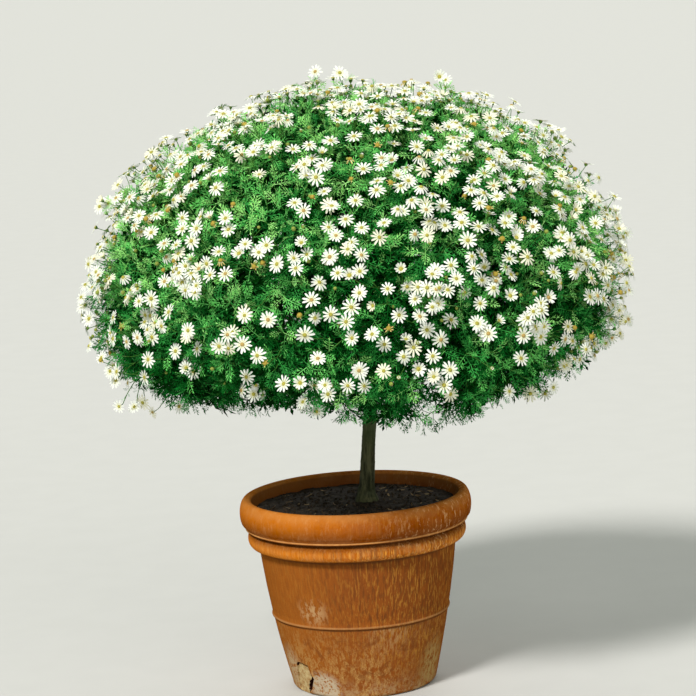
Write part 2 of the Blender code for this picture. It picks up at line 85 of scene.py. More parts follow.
TRUNK_TOP, TRUNK_TOP_RADIUS = 0.775, 0.009
TRUNK_SECTIONS = (  # level and radius
    (SOIL_LEVEL - 0.006, FOOT_RADIUS * 1.06),
    (SOIL_LEVEL + 0.008, FOOT_RADIUS * 0.92),
    (SOIL_LEVEL + 0.02, FOOT_RADIUS * 0.74),
    (SOIL_LEVEL + 0.04, TRUNK_RADIUS * 1.02),
    (SOIL_LEVEL + 0.11, TRUNK_RADIUS * 0.91),
    (HEAD_LEVEL - 0.065, TRUNK_RADIUS * 0.85),
    (HEAD_LEVEL - 0.035, HEAD_RADIUS * 0.95),
    (HEAD_LEVEL, HEAD_RADIUS),
    (HEAD_LEVEL + 0.035, HEAD_RADIUS * 0.9),
    (TRUNK_TOP - 0.025, TRUNK_TOP_RADIUS * 1.25),
    (TRUNK_TOP, TRUNK_TOP_RADIUS),
)
CROWN_CENTRE = np.array((0.028, 0.0, 0.822))
CROWN_RADIUS, CROWN_RISE, CROWN_DROP = 0.606, 0.506, 0.235
CROWN_FULLNESS, CROWN_LOBE = 2.15, 0.018
BOUGH_END, STEM_END = 0.47, 0.72  # of the way from the crown's centre to its outline
TOP_EDGE, UPPER_EDGE, LOWER_EDGE = math.radians(61), math.radians(28), math.radians(-54)
UPPER_MASSES, LOWER_MASSES = 5, 8
BOUGH_RADIUS, BOUGH_TIP_RADIUS, STEM_TIP_RADIUS = 0.0066, 0.0042, 0.003
UPPER_LEAVE, LOWER_LEAVE = (0.044, 0.55), (-0.012, 0.18)
BOUGH_STAGGER = 0.013
BOUGH_STEPS, STEM_STEPS = 34, 12

# How deep the crown's skirt hangs at each azimuth in degrees, in shares of the crown's drop
SKIRT_TURNS = (0, 20, 48, 80, 108, 140, 168, 190, 211, 230, 243, 255, 270, 293, 316, 345, 360)
SKIRT_DEPTHS = (
    1.0, 0.93, 1.06, 0.88, 1.05, 0.84, 1.04, 0.96, 1.0, 0.82, 0.78, 0.95, 0.97, 1.12, 1.12, 0.98, 1.0
)

# Growth that goes on from the boughs
SHOOT_COUNT = 1420
LOWEST_SHOOT = 0.9  # of the crown's drop below its centre
SHOOT_SHARES, FURTHEST_SHOOT = (0.885, 0.95), 0.958
BRANCH_SHARE, SPRIG_SHARE = 0.7, 0.83
TIPS_A_BRANCH, TIPS_A_SPRIG = 27, 6
LEAVES_A_SHOOT, FEATHERY_LEAVES = 11, 9
LEAVES_A_SPRIG, LEAVES_A_BRANCH = 22, 12
YOUNG_LEAF, LEAF_GROWTH, LEAF_RIPENING = 0.024, 0.034, 3.0
OPEN_LEAF, LEAF_OPENING = 78, 3.2  # degrees from the shoot, and leaves it takes to come near that
OLD_LEAF, OLD_LEAF_GROWTH = 0.062, 0.012
YOUNG_WHORL, OLD_WHORL = (0.22, 22), (0.3, 50)  # where the leaves start, and the first one's degrees
LEAF_REACH = 1.004
HOLLOWS_A_METRE, HOLLOW_DEPTH = 13.0, 0.075
# The bays in the crown's sides: azimuth, rise and half width in degrees, and depth in shares
BAYS = ((180, 18, 14, 0.03), (182, -16, 12, 0.045), (-3, -20, 16, 0.05), (248, -26, 9, 0.06))
TOP_SINK = 0.026  # how much lower the crown's top grows than its sides, in shares
LEAF_KINDS = 6
# A leaf's rib stations and half width, its pairs of lobes as (place, length, degrees of spread),
# their half width, the length from which they are toothed, and its end lobe's place and size
FEATHERY_LEAF = (
    (0.0, 0.48, 0.9), 0.017, ((0.28, 0.2, 60), (0.44, 0.32, 53), (0.6, 0.34, 47), (0.76, 0.26, 38)),
    0.022, 0.28, 0.86, 0.2, 0.026,
)
SHADED_LEAF = ((0.0, 0.9), 0.03, ((0.36, 0.34, 58), (0.62, 0.36, 46)), 0.06, 1.0, 0.8, 0.26, 0.055)
# How thickly the shoots bear daisies at each rise in degrees
BEARING_RISES = (-50, -36, -22, -6, 8, 28, 50, 90)
BEARING = (0.0, 0.06, 0.34, 0.48, 0.66, 0.6, 0.7, 1.1)
HEAD_SIZE = 0.0183  # radius of an open daisy
HEAD_SHARES = (0.955, 1.012)
SPRAY_TURN = 2.3  # radians between two daisies of a spray
SPRAY_REACH, LONE_REACH, HEAD_CLEAR = 0.019, 0.006, 0.03  # from the shoot's tip, aside and beyond
PROUD, PROUD_BELOW = 0.018, math.radians(38)
STALK_START = 0.34  # of a head's radius behind it
# Each state of a head, open, half shut, drooping and old, in kinds with their number of rays,
# lift and curl, and where they differ their length, width and share of rays missing
HEAD_KINDS = (
    (
        (12, 0.06, -0.1), (13, 0.14, -0.16), (11, 0.0, -0.05), (12, 0.22, -0.24), (14, 0.1, -0.12),
        (12, -0.12, -0.16), (13, 0.02, -0.2), (11, 0.16, -0.1), (12, 0.3, -0.12), (11, -0.2, -0.1),
    ),
    ((11, 0.95, -0.28), (12, 0.75, -0.3)),
    ((12, -0.5, -0.35, 0.95), (11, -0.75, -0.3, 0.9, 0.85)),
    ((11, -0.55, -0.5, 0.72, 0.62, 0.3), (10, 0.5, -0.9, 0.62, 0.6, 0.4), (10, -0.8, -0.7, 0.45, 0.6, 0.6)),
)
OLD = 3
# A ray's sections as (share of its length, half width, dip), and the triangles between them
RAY_ROOT = 0.2
RAY_SECTIONS = ((0.2, 0.05, 0.0), (0.48, 0.1, 0.02), (0.82, 0.11, 0.016), (1.0, 0.045, 0.0))
RAY_FOOT_FACES = ((0, 1, 3), (0, 3, 2), (1, 4, 3))
RAY_BLADE_FACES = (
    (0, 1, 4), (0, 4, 3), (1, 2, 5), (1, 5, 4), (3, 4, 7), (3, 7, 6), (4, 5, 8), (4, 8, 7)
)
# Closed shapes of revolution as (radius, height) points, in shares of a head's or a bud's radius
DISC = ((0.195, -0.05), (0.226, 0.02), (0.176, 0.085), (0, 0.115))
SWOLLEN_DISC = ((0.25, -0.06), (0.3, 0.05), (0.26, 0.17), (0.13, 0.245), (0, 0.26))
CUP = ((0.045, -0.34), (0.185, -0.2), (0.25, -0.03), (0, -0.03))
BUD = ((0.35, -1.0), (0.86, -0.62), (1.0, 0.0), (0.72, 0.62), (0, 0.9))
SUNWARD = np.array((-0.1, -0.2, 0.24))  # how far a daisy turns from the crown's surface to the light
BUD_SHARES, BUD_COUNT, BUD_SIZES, LOWEST_BUD = (0.935, 0.985), 330, (0.0032, 0.005), math.radians(-30)
STRAY_FACE = np.array((-0.15, -0.75, 0.4))
# Daisies on long shoots, clear of the crown, in millimetres
STRAY_DAISIES = np.array((
    (-506, 12, 1084), (-494, 24, 1077), (-514, 30, 1070), (-505, 44, 992), (-485, 24, 995),
    (-492, 42, 982), (-549, -47, 912), (-564, -3, 880), (-570, 44, 854), (-559, 15, 860),
    (-516, 40, 769), (-501, -39, 733), (-513, -3, 716), (-494, -25, 711), (-503, 4, 694),
    (-475, 7, 751), (-495, -49, 645), (-464, -28, 639), (-446, -22, 646), (-431, 42, 613),
    (-34, 27, 1333), (18, -34, 1330), (-31, 30, 1312), (228, -36, 1310), (242, 12, 1301),
    (421, -37, 619), (538, 37, 713), (557, -29, 720), (571, -28, 731), (617, 48, 946),
    (614, 37, 889),
)) / 1000

# The camera, turned down from level and rolled in degrees, with its focal length in pixels
CAMERA_PLACE, CAMERA_DOWN, CAMERA_ROLL = (0.003, -5.5, 1.55), 8.41, -3.2
SENSOR, FOCAL_PIXELS, IMAGE_PIXELS = 36, 2574, 696
# Each lamp's energy, how many degrees wide it is, and its turns in degrees
LAMPS = (
    ("key", 3.5, 12, (46, 0, -32)), ("fill", 0.9, 50, (66, 34, 10)), ("back", 1.3, 50, (-52, 12, 0))
)

chance = np.random.default_rng(SEED)


# ---- meshes


def unit(rows):
    return rows / np.maximum(np.linalg.norm(rows, axis=-1, keepdims=True), 1e-12)


def ring_angles(count):
    return 2 * np.pi * np.arange(count) / count


def around(radius, angle, level):
    """Points about Z at a radius, an angle and a level."""
    return np.stack(np.broadcast_arrays(radius * np.cos(angle), radius * np.sin(angle), level), -1)


def spun(angle, first, second):
    """The directions at an angle from the first towards the second."""
    return np.cos(angle)[..., None] * first + np.sin(angle)[..., None] * second


def off_axis(directions):
    """An axis that lies well away from each direction."""
    return np.where(np.abs(directions[..., 2:]) < 0.9, [0.0, 0.0, 1.0], [1.0, 0.0, 0.0])


def turned_frames(directions, rolls):
    """Rotations whose third axis is each direction, rolled about it."""
    third = unit(directions)
    first = unit(np.cross(off_axis(third), third))
    second = np.cross(third, first)
    return np.stack([spun(rolls, first, second), spun(rolls, second, -first), third], axis=2)


def nearest(points, others):
    """The number of the other point that is nearest to each point."""
    return ((points[:, None] - others[None]) ** 2).sum(-1).argmin(axis=1)


def ring_faces(rows, columns):
    """Triangles between the rows of a grid whose columns close into rings."""
    row, column = np.meshgrid(np.arange(rows - 1), np.arange(columns), indexing="ij")
    a, b = row * columns + column, row * columns + (column + 1) % columns
    return np.stack([a, b, b + columns, a, b + columns, a + columns], -1).reshape(-1, 3)


def fan_faces(tip, start, count):
    """Triangles between a tip and a ring of points."""
    column = np.arange(count)
    return np.stack([np.full(count, tip), start + column, start + (column + 1) % count], -1)


def placed(name, data):
    """A new object in the scene."""
    obj = bpy.data.objects.new(name, data)
    bpy.context.scene.collection.objects.link(obj)
    return obj


def make_piece(name, points, faces, material, slot, nodes=(), smooth=False):
    """An object from points and triangles, riding on the one body."""
    mesh = bpy.data.meshes.new(name)
    mesh.vertices.add(len(points))
    mesh.vertices.foreach_set("co", np.asarray(points, np.float32).ravel())
    mesh.loops.add(faces.size)
    mesh.loops.foreach_set("vertex_index", np.asarray(faces, np.int32).ravel())
    mesh.polygons.add(len(faces))
    mesh.polygons.foreach_set("loop_start", np.arange(0, faces.size, 3, dtype=np.int32))
    mesh.polygons.foreach_set("use_smooth", np.full(len(faces), smooth))
    mesh.update(calc_edges=True)
    mesh.validate()
    mesh.materials.append(material)
    obj = placed(name, mesh)
    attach(obj, "root")
    if nodes:
        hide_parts(*nodes)
    return obj


class Batch:
    """The points and triangles of one piece, gathered from many small shapes."""

    def __init__(self):
        self.points, self.faces, self.count = [], [], 0

    def add(self, points, faces):
        self.points.append(points)
        self.faces.append(faces + self.count)
        self.count += len(points)

    def add_alike(self, points, faces):
        """Many shapes with the same faces, the points in a row for each shape."""
        starts = points.shape[1] * np.arange(len(points))
        self.add(points.reshape(-1, 3), (faces[None] + starts[:, None, None]).reshape(-1, 3))

    def add_copies(self, shape, origins, rotations, sizes):
        points, faces = shape
        moved = np.einsum("kij,kpj->kpi", rotations, points[None] * sizes[:, None, None])
        self.add_alike(moved + origins[:, None], faces)

    def add_tubes(self, curves, thick, thin, sides):
        """Tapering tubes along curves of one number of points, each closed at its far end."""
        count, steps, _ = curves.shape
        along = unit(np.gradient(curves, axis=1))
        mean = unit(curves[:, -1] - curves[:, 0])
        first = unit(np.cross(along, unit(np.cross(mean, off_axis(mean)))[:, None]))
        second = np.cross(along, first)
        ring = spun(ring_angles(sides), first[:, :, None], second[:, :, None])
        points = curves[:, :, None] + np.linspace(thick, thin, steps)[:, None, None] * ring
        last = (steps - 1) * sides
        cap = [(last, last + i, last + i + 1) for i in range(1, sides - 1)]
        self.add_alike(points.reshape(count, -1, 3), np.concatenate([ring_faces(steps, sides), cap]))

    def finish(self, name, *rest):
        return make_piece(name, np.concatenate(self.points), np.concatenate(self.faces), *rest)


def bezier(starts, leaves, ends, arrivals, steps):
    """Curves between points that leave and arrive in the directions given."""
    reach = np.linalg.norm(ends - starts, axis=-1, keepdims=True) * PULL
    a, b = starts[:, None], (starts + unit(leaves) * reach)[:, None]
    c, d = (ends - unit(arrivals) * reach)[:, None], ends[:, None]
    t = np.linspace(0, 1, steps)[None, :, None]
    return (1 - t) ** 3 * a + 3 * (1 - t) ** 2 * t * b + 3 * (1 - t) * t**2 * c + t**3 * d


def along_curves(curves, shares):
    """Points and directions at a share of the way along each curve."""
    steps = curves.shape[1] - 1
    place = np.clip(shares * steps, 0, steps - 1e-6)
    low = place.astype(int)
    rows = np.arange(len(curves)).reshape(-1, *[1] * (shares.ndim - 1))
    near, far = curves[rows, low], curves[rows, low + 1]
    return near + (far - near) * (place - low)[..., None], unit(far - near)


# ---- materials


class Look:
    """A Principled material with a tone that coats are laid on, and short ways to add nodes."""

    def __init__(self, name, roughness, specular):
        self.material = bpy.data.materials.new(name)
        self.material.use_nodes = True
        self.tree = self.material.node_tree
        self.shader = self.tree.nodes["Principled BSDF"]
        self.feed(self.shader, {"Roughness": roughness, "Specular IOR Level": specular})
        self.place = self.tree.nodes.new("ShaderNodeTexCoord").outputs["Object"]

    def feed(self, node, inputs):
        """Links sockets to inputs of a node, and sets its other inputs to values."""
        for name, value in inputs.items():
            socket = node.inputs[name]
            if isinstance(value, bpy.types.NodeSocket):
                self.tree.links.new(value, socket)
            else:
                socket.default_value = (*value, 1) if socket.type == "RGBA" else value
        return node

    def add(self, kind, inputs):
        return self.feed(self.tree.nodes.new("ShaderNode" + kind), inputs).outputs

    def noise(self, scale, detail, roughness=0.55, stretch=None, distortion=0.0):
        place = self.add("Mapping", {"Vector": self.place, "Scale": stretch})[0] if stretch else self.place
        inputs = {"Scale": scale, "Detail": detail, "Roughness": roughness, "Distortion": distortion}
        return self.add("TexNoise", {"Vector": place, **inputs})["Fac"]

    def cells(self, scale):
        return self.add("TexVoronoi", {"Vector": self.place, "Scale": scale})["Distance"]

    def spread(self, value, low, high, bottom=0.0, top=1.0):
        """Turns low to high into bottom to top, smoothly and no further."""
        node = self.tree.nodes.new("ShaderNodeMapRange")
        node.interpolation_type = "SMOOTHSTEP"
        limits = {"From Min": low, "From Max": high, "To Min": bottom, "To Max": top}
        return self.feed(node, {"Value": value, **limits}).outputs["Result"]

    def reckon(self, kind, *values, node="Math"):
        node = self.tree.nodes.new("ShaderNode" + node)
        node.operation = kind
        return self.feed(node, dict(enumerate(values))).outputs

    def mix(self, factor, colour, other):
        node = self.tree.nodes.new("ShaderNodeMix")
        node.data_type = "RGBA"
        return self.feed(node, {0: factor, 6: colour, 7: other}).outputs[2]

    def axis(self, name):
        return self.add("SeparateXYZ", {0: self.place})[name]

    def distance(self, point, weights):
        """How far each place is from a point, with the axes weighed."""
        out = self.reckon("SUBTRACT", self.place, point, node="VectorMath")[0]
        out = self.reckon("MULTIPLY", out, weights, node="VectorMath")[0]
        return self.reckon("LENGTH", out, node="VectorMath")["Value"]

    def dapple(self, height, low, high, colour, other):
        """Starts the tone with two colours, one where a height is low and one where it is high."""
        self.tone = self.mix(self.spread(height, low, high), colour, other)

    def coat(self, colour, cover, *factors):
        """Lays a colour on the tone, covering as much as the factors' product says."""
        for factor in factors:
            cover = self.reckon("MULTIPLY", cover, factor)[0]
        self.tone = self.mix(cover, self.tone, colour)

    def roughen(self, height, low, high):
        self.feed(self.shader, {"Roughness": self.spread(height, 0.3, 0.7, low, high)})

    def finish(self, *bumps):
        """The material in its tone, with bumps on one another as (height, depth, strength)."""
        self.feed(self.shader, {"Base Color": self.tone})
        under = {}
        for height, depth, strength in bumps:
            inputs = {"Height": height, "Distance": depth, "Strength": strength}
            under = {"Normal": self.add("Bump", {**inputs, **under})[0]}
        self.feed(self.shader, under)
        return self.material


def leafy(name, colour, other, roughness=0.5):
    """A green that varies a little from spot to spot, with a faintly veined surface."""
    look = Look(name, roughness, 0.03)
    look.dapple(look.noise(70, 2), 0.35, 0.65, colour, other)
    look.roughen(look.noise(160, 2), roughness - 0.08, roughness + 0.1)
    return look.finish((look.noise(900, 2), 0.0004, 0.5))


def terracotta():
    look = Look("weathered terracotta", 0.85, 0.0)
    level, across = look.axis("Z"), look.axis("X")

    def tall(*limits):
        return look.spread(level, *limits)

    def wide(*limits):
        return look.spread(across, *limits)

    def grain(texture, *limits):
        return look.spread(look.noise(*texture), *limits)

    look.dapple(look.noise(9, 5, 0.6), 0.35, 0.68, (0.33, 0.069, 0.001), (0.45, 0.105, 0.001))
    look.coat((0.405, 0.087, 0.001), grain((3.2, 3), 0.42, 0.62, 0.0, 0.5))
    # painted light: the pot's left side is coloured lighter, as if lit from the left
    look.coat((0.555, 0.152, 0.003), wide(-0.16, 0.0, 0.75, 0.0))
    # thin upright streaks left by rain and by the potter's brush, pale ones most on the right
    under_roll = tall(0.348, 0.358, 1.0, 0.22)
    streaks = (96.0, 96.0, 1.6)
    look.coat((0.76, 0.33, 0.04), grain((3.4, 3, 0.6, streaks), 0.51, 0.6),
              wide(-0.1, 0.16, 0.25, 1.0), tall(0.02, 0.1), under_roll)
    look.coat((0.175, 0.036, 0.001), grain((3.4, 4, 0.6, (64.0, 64.0, 1.3)), 0.47, 0.64),
              tall(0.135, 0.175, 0.3, 1.0), wide(-0.16, 0.02, 0.25, 0.95), under_roll)
    # the collar holds short pale drips, and its top is painted darker under the roll as painted shade, the
    # roll's shadow
    foot, head = tall(0.312, 0.32), tall(0.338, 0.35, 1.0, 0.0)
    look.coat((0.6, 0.23, 0.04), foot, head, 0.12)
    look.coat((0.7, 0.36, 0.11), foot, head, grain((3.6, 5, 0.75, (46.0, 46.0, 6.0)), 0.46, 0.64),
              wide(-0.2, 0.2, 0.35, 0.8), 0.55)
    look.coat((0.11, 0.026, 0.002), tall(0.33, 0.348, 0.0, 0.8), tall(0.3535, 0.3545, 1.0, 0.0))
    # the roll is painted lighter on its shoulder, partly painted highlight and partly rubbed wear, and
    # painted darker towards its foot as painted shade
    look.coat((0.66, 0.28, 0.07), tall(0.392, 0.415), grain((26, 4), 0.3, 0.6, 0.35, 0.9), 0.5)
    look.coat((0.095, 0.018, 0.001), tall(0.364, 0.402, 0.76, 0.2), tall(0.3535, 0.3545))
    # dust dulls the roll and the collar, and they are scuffed on the right
    on_rim = tall(0.31, 0.318)
    look.coat((0.48, 0.26, 0.12), grain((34, 5, 0.75), 0.36, 0.66, 0.0, 0.12), on_rim)
    look.coat((0.74, 0.44, 0.2), grain((130, 3, 0.8, (1.0, 1.0, 0.3)), 0.55, 0.63),
              wide(0.02, 0.22, 0.08, 0.5), on_rim)
    # salts bloom towards the foot and run down from the ring on the right
    below_ring = tall(0.157, 0.159, 1.0, 0.0)
    look.coat((0.9, 0.53, 0.165), grain((15, 5, 0.7, None, 0.8), 0.38, 0.56, 0.15, 1.0),
              grain((135, 2, 0.8, (1.0, 1.0, 0.4)), 0.43, 0.56), grain((330, 2, 0.8), 0.44, 0.56, 0.45, 1.0),
              tall(0.02, 0.16, 1.0, 0.35), below_ring, wide(0.0, 0.13, 1.0, 0.28))
    look.coat((0.76, 0.43, 0.17), grain((3.4, 3, 0.6, (74.0, 74.0, 3.4)), 0.46, 0.6),
              tall(0.075, 0.15), below_ring, wide(-0.01, 0.05), wide(0.07, 0.12, 0.85, 0.2))
    look.coat((0.78, 0.53, 0.26), tall(0.0, 0.055, 1.0, 0.0), grain((34, 6, 0.75), 0.4, 0.56),
              grain((125, 2, 0.9), 0.42, 0.54, 0.15, 1.0), 0.9)
    # damp blotches lie over the salts
    look.coat((0.235, 0.052, 0.002), grain((21, 5, 0.7, None, 1.2), 0.52, 0.62),
              tall(0.13, 0.15, 1.0, 0.0), tall(0.028, 0.055, 0.0, 0.7))
    flakes = grain((120, 2, 0.9), 0.4, 0.48)
    salt = grain((80, 5, 0.75, (1.0, 1.0, 0.5)), 0.46, 0.56)
    lichen = grain((120, 5, 0.75, (1.0, 1.0, 0.5)), 0.41, 0.54)
    for place, height, near, far, texture, share, colour in (
        (SALT_PATCH, 1.2, 0.008, 0.05, salt, 0.9, (0.9, 0.56, 0.26)),
        (LICHEN_PATCH, 0.7, 0.015, 0.06, lichen, 0.85, (0.74, 0.54, 0.19)),
        (CHALK_PATCH, 1.0, 0.024, 0.05, flakes, 0.95, (0.96, 0.85, 0.62)),
        (SCALE_PATCH, 0.6, 0.012, 0.05, flakes, 0.9, (0.88, 0.69, 0.4)),
    ):
        patch = look.spread(look.distance(place, (1.0, 1.0, height)), near, far, 1.0, 0.0)
        look.coat(colour, patch, texture, share)
    # painted highlights along the crests of the ring and the bead, and painted shade in the grooves under
    # them and at the collar's foot, made patchy
    patchy = grain((30, 4, 0.7), 0.3, 0.65, 0.55, 1.0)
    for middle, half, share, colour in (
        (RING_LEVEL + 0.0012, 0.003, 0.75, (0.74, 0.4, 0.15)),
        (LIP_LEVEL + 0.0042, 0.0026, 0.75, (0.7, 0.34, 0.11)),
        (RING_LEVEL - RING_HALF_HEIGHT + 0.0003, 0.0036, 0.95, (0.05, 0.011, 0.001)),
        (LIP_LEVEL - 0.0015, 0.004, 0.95, (0.05, 0.011, 0.001)),
        (0.3125, 0.0085, 0.95, (0.05, 0.012, 0.001)),
    ):
        away = look.reckon("ABSOLUTE", look.reckon("SUBTRACT", level, middle)[0])[0]
        look.coat(colour, look.spread(away, 0.0005, half, share, 0.0), patchy)
    # the inside is painted darker, as painted shade in the pot's mouth
    inside = look.distance((0.0, 0.0, 0.0), (1.0, 1.0, 0.0))
    look.coat((0.13, 0.05, 0.018), look.spread(inside, 0.2275, 0.231, 1.0, 0.0),
              tall(0.411, 0.416, 1.0, 0.0), 0.62)
    look.roughen(look.noise(40, 4), 0.66, 0.92)
    return look.finish((look.noise(48, 6, 0.65), 0.0022, 0.55),
                       (look.noise(3.4, 6, 0.75, streaks), 0.0014, 0.6),
                       (look.noise(620, 3, 0.6), 0.0006, 0.6))


def broken_clay(name, dark, light):
    """The rough clay where a flake has come away, or deep in a crack, where its near-black colours are
    painted shade.
    """
    look = Look(name, 0.9, 0.02)
    look.dapple(look.noise(95, 6, 0.72), 0.36, 0.6, dark, light)
    return look.finish((look.noise(170, 6, 0.7), 0.0022, 0.9))


def potting_soil(name, dark, light):
    look = Look(name, 0.95, 0.15)
    look.dapple(look.noise(55, 6, 0.7), 0.35, 0.68, dark, light)
    look.coat((0.13, 0.095, 0.06), look.spread(look.cells(230), 0.02, 0.1, 1.0, 0.0), 0.5)
    return look.finish((look.cells(120), 0.004, 0.7), (look.noise(420, 5, 0.7), 0.002, 0.8))


def bark():
    look = Look("woody stem bark in painted shade", 0.85, 0.25)
    fibres = look.noise(2.4, 6, 0.7, (60.0, 60.0, 7.0))
    # the bark's tones are darkened as painted shade, standing in for the crown's shadow on the trunk and
    # branches, over its own greenish brown
    look.dapple(fibres, 0.36, 0.64, (0.016, 0.018, 0.006), (0.105, 0.102, 0.046))
    look.coat((0.11, 0.12, 0.068), look.spread(look.noise(22, 4, 0.6), 0.45, 0.68, 0.0, 0.55))
    look.coat((0.052, 0.086, 0.022), look.spread(look.axis("Z"), 0.46, 0.66, 0.15, 0.6),
              look.spread(look.noise(15, 3), 0.35, 0.6))
    look.roughen(fibres, 0.95, 0.75)
    return look.finish((fibres, 0.0025, 0.9), (look.noise(500, 4, 0.7), 0.0008, 0.6))


def petal(name, colour, other):
    look = Look(name, 0.55, 0.3)
    look.dapple(look.noise(120, 2), 0.35, 0.65, colour, other)
    return look.finish((look.noise(700, 2), 0.0003, 0.5))


def grainy(name, colour, other, scale=900.0):
    """The tightly packed florets of a disc."""
    look = Look(name, 0.75, 0.2)
    grains = look.cells(scale)
    look.dapple(grains, 0.1, 0.6, colour, other)
    return look.finish((grains, 0.0009, 0.9))


# ---- pot and soil


def arc(centre, radii, first, last, steps):
    """(radius, height) points on an ellipse, between two angles in degrees."""
    angle = np.radians(np.linspace(first, last, steps + 1))
    return list(zip(centre[0] + radii[0] * np.cos(angle), centre[1] + radii[1] * np.sin(angle)))


def body_radius(level):
    share = level / BODY_TOP_LEVEL
    return BASE_RADIUS + (BODY_TOP_RADIUS - BASE_RADIUS) * share + 4 * BODY_BELLY * share * (1 - share)


def levels(first, last, step):
    return np.linspace(first, last, max(2, round(abs(first - last) / step)))


def body_side(first, last, step, inwards=0.0):
    return [(body_radius(level) - inwards, level) for level in levels(first, last, step)]


def pot_profile():
    """The pot's section, from the middle of the soil's foot up the inside, over and down."""
    roll_half, collar_half = RIM_ROLL_HEIGHT / 2, COLLAR_HEIGHT / 2
    crest = RIM_MOUTH_RADIUS + 0.011
    ring_crest = body_radius(RING_LEVEL) + RING_THICKNESS
    soil_side = levels(SHOULDER_TOP + 0.01, SOIL_EDGE_LEVEL, 0.008)
    return [
        *body_side(0.2, SHOULDER_FOOT, 0.02, WALL),
        (SOIL_EDGE_RADIUS, SHOULDER_TOP),
        *[(SOIL_EDGE_RADIUS, level) for level in soil_side],
        (SOIL_EDGE_RADIUS + 0.0035, 0.4),
        (SOIL_EDGE_RADIUS + 0.0052, 0.408),
        *arc((crest, POT_HEIGHT - 0.0065), (0.0112, 0.0065), 176, 94, 8),
        *arc((crest, POT_HEIGHT - roll_half), (RIM_RADIUS - crest, roll_half), 88, -38, 22),
        # a thin bead closes the roll, and a groove parts it from the collar
        *arc((LIP_RADIUS - 0.0005, LIP_LEVEL + 0.0035), (0.0036, 0.0035), 55, -88, 7),
        (COLLAR_RADIUS - 0.006, LIP_LEVEL - 0.0005),
        (COLLAR_RADIUS - 0.0085, LIP_LEVEL - 0.002),
        *arc((COLLAR_RADIUS - 0.014, LIP_LEVEL - collar_half), (0.014, collar_half - 0.0025), 72, -78, 14),
        (body_radius(BODY_TOP_LEVEL) + 0.0022, BODY_TOP_LEVEL + 0.013),
        *body_side(BODY_TOP_LEVEL + 0.008, RING_LEVEL + RING_HALF_HEIGHT, 0.011),
        (ring_crest - 0.0018, RING_LEVEL + 0.0034),
        (ring_crest - 0.0003, RING_LEVEL + 0.0022),
        (ring_crest, RING_LEVEL + 0.0002),
        (ring_crest - 0.0006, RING_LEVEL - 0.0016),
        (body_radius(RING_LEVEL) - 0.0006, RING_LEVEL - 0.003),
        *body_side(RING_LEVEL - RING_HALF_HEIGHT, BASE_ROUNDING + 0.004, 0.011),
        *arc((body_radius(BASE_ROUNDING) - BASE_ROUNDING, BASE_ROUNDING), [BASE_ROUNDING] * 2, 0, -90, 7),
        (0.12, 0.0),
        (0.07, 0.0),
        (0.022, 0.0),
    ]


def cut(obj, cutter):
    """Takes the cutter out of the object, and the cut faces keep the cutter's material."""
    modifier = obj.modifiers.new("Cut", "BOOLEAN")
    modifier.operation = "DIFFERENCE"
    modifier.solver = "EXACT"
    modifier.material_mode = "TRANSFER"
    modifier.object = cutter
    bpy.context.view_layer.update()
    graph = bpy.context.evaluated_depsgraph_get()
    mesh = bpy.data.meshes.new_from_object(obj.evaluated_get(graph))
    obj.modifiers.clear()
    obj.data = mesh
    bpy.data.objects.remove(cutter, do_unlink=True)


def make_cutter(name, outline, depth, material):
    """A ragged plate that follows the round of the pot, half sunk into its side."""
    corners = np.array(outline) / 10000
    steps = np.arange(4)[:, None] / 4
    edges = np.concatenate([a + (b - a) * steps for a, b in zip(corners, np.roll(corners, -1, axis=0))])
    edges += np.random.default_rng(SEED).uniform(-0.0005, 0.0005, edges.shape)
    radius = body_radius(edges[:, 1])
    angle = FLAKE_AZIMUTH + edges[:, 0] / radius
    work = bmesh.new()
    outer, inner = (
        [work.verts.new(spot) for spot in around(radius + reach, angle, edges[:, 1])]
        for reach in (0.01, -depth)
    )
    work.faces.new(outer)
    work.faces.new(inner[::-1])
    for a, b, c, d in zip(outer, inner, inner[1:] + inner[:1], outer[1:] + outer[:1]):
        work.faces.new((d, a, b, c))
    bmesh.ops.triangulate(work, faces=work.faces)
    if work.calc_volume(signed=True) < 0:
        bmesh.ops.reverse_faces(work, faces=work.faces)
    return placed(name, finished(work, name, material))


def finished(work, name, material):
    """The mesh of a bmesh, which is freed."""
    mesh = bpy.data.meshes.new(name)
    work.to_mesh(mesh)
    work.free()
    mesh.materials.append(material)
    return mesh


def clay_swell(point):
    spot = Vector(5 * point)
    return noise.noise(spot) * 0.0011 + noise.noise(spot * 7) * 0.0003


def make_pot():
    """The turned pot, a little uneven as hand-finished clay is, with a flake gone at its foot."""
    profile = np.array(pot_profile())
    rows = len(profile)
    radius, level = profile[:, :1], profile[:, 1:]
    angle = ring_angles(POT_TURNS)
    uneven = np.array([[clay_swell(point) for point in row] for row in around(radius, angle, level)])
    # the foot is even, and the side under the soil nearly so
    uneven *= np.clip(level / EVEN_FOOT, 0, 1) * np.where(np.arange(rows)[:, None] < HIDDEN_ROWS, 0.2, 1)
    points = around(radius + uneven, angle, level).reshape(-1, 3)
    # close it with a hidden floor under the soil and with the middle of its underside
    count = len(points)
    pot = make_piece(
        "terracotta_pot",
        np.concatenate([points, [(0, 0, profile[0][1]), (0, 0, 0)]]),
        np.concatenate([
            ring_faces(rows, POT_TURNS)[:, ::-1],
            fan_faces(count, 0, POT_TURNS),
            fan_faces(count + 1, count - POT_TURNS, POT_TURNS)[:, [0, 2, 1]],
        ]),
        terracotta(),
        "terracotta",
        smooth=True,
    )
    flaked = broken_clay("flaked terracotta", (0.33, 0.17, 0.06), (0.52, 0.4, 0.2))
    # the crack's inside is painted near black, as painted shade deep in the crack
    deep = broken_clay("crack in painted shade", (0.02, 0.005, 0.002), (0.06, 0.016, 0.008))
    cut(pot, make_cutter("flake", FLAKE_OUTLINE, FLAKE_DEPTH, flaked))
    cut(pot, make_cutter("crack", CRACK_OUTLINE, CRACK_DEPTH, deep))
    for face in pot.data.polygons:
        face.use_smooth = face.material_index == 0
    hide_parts("pot")


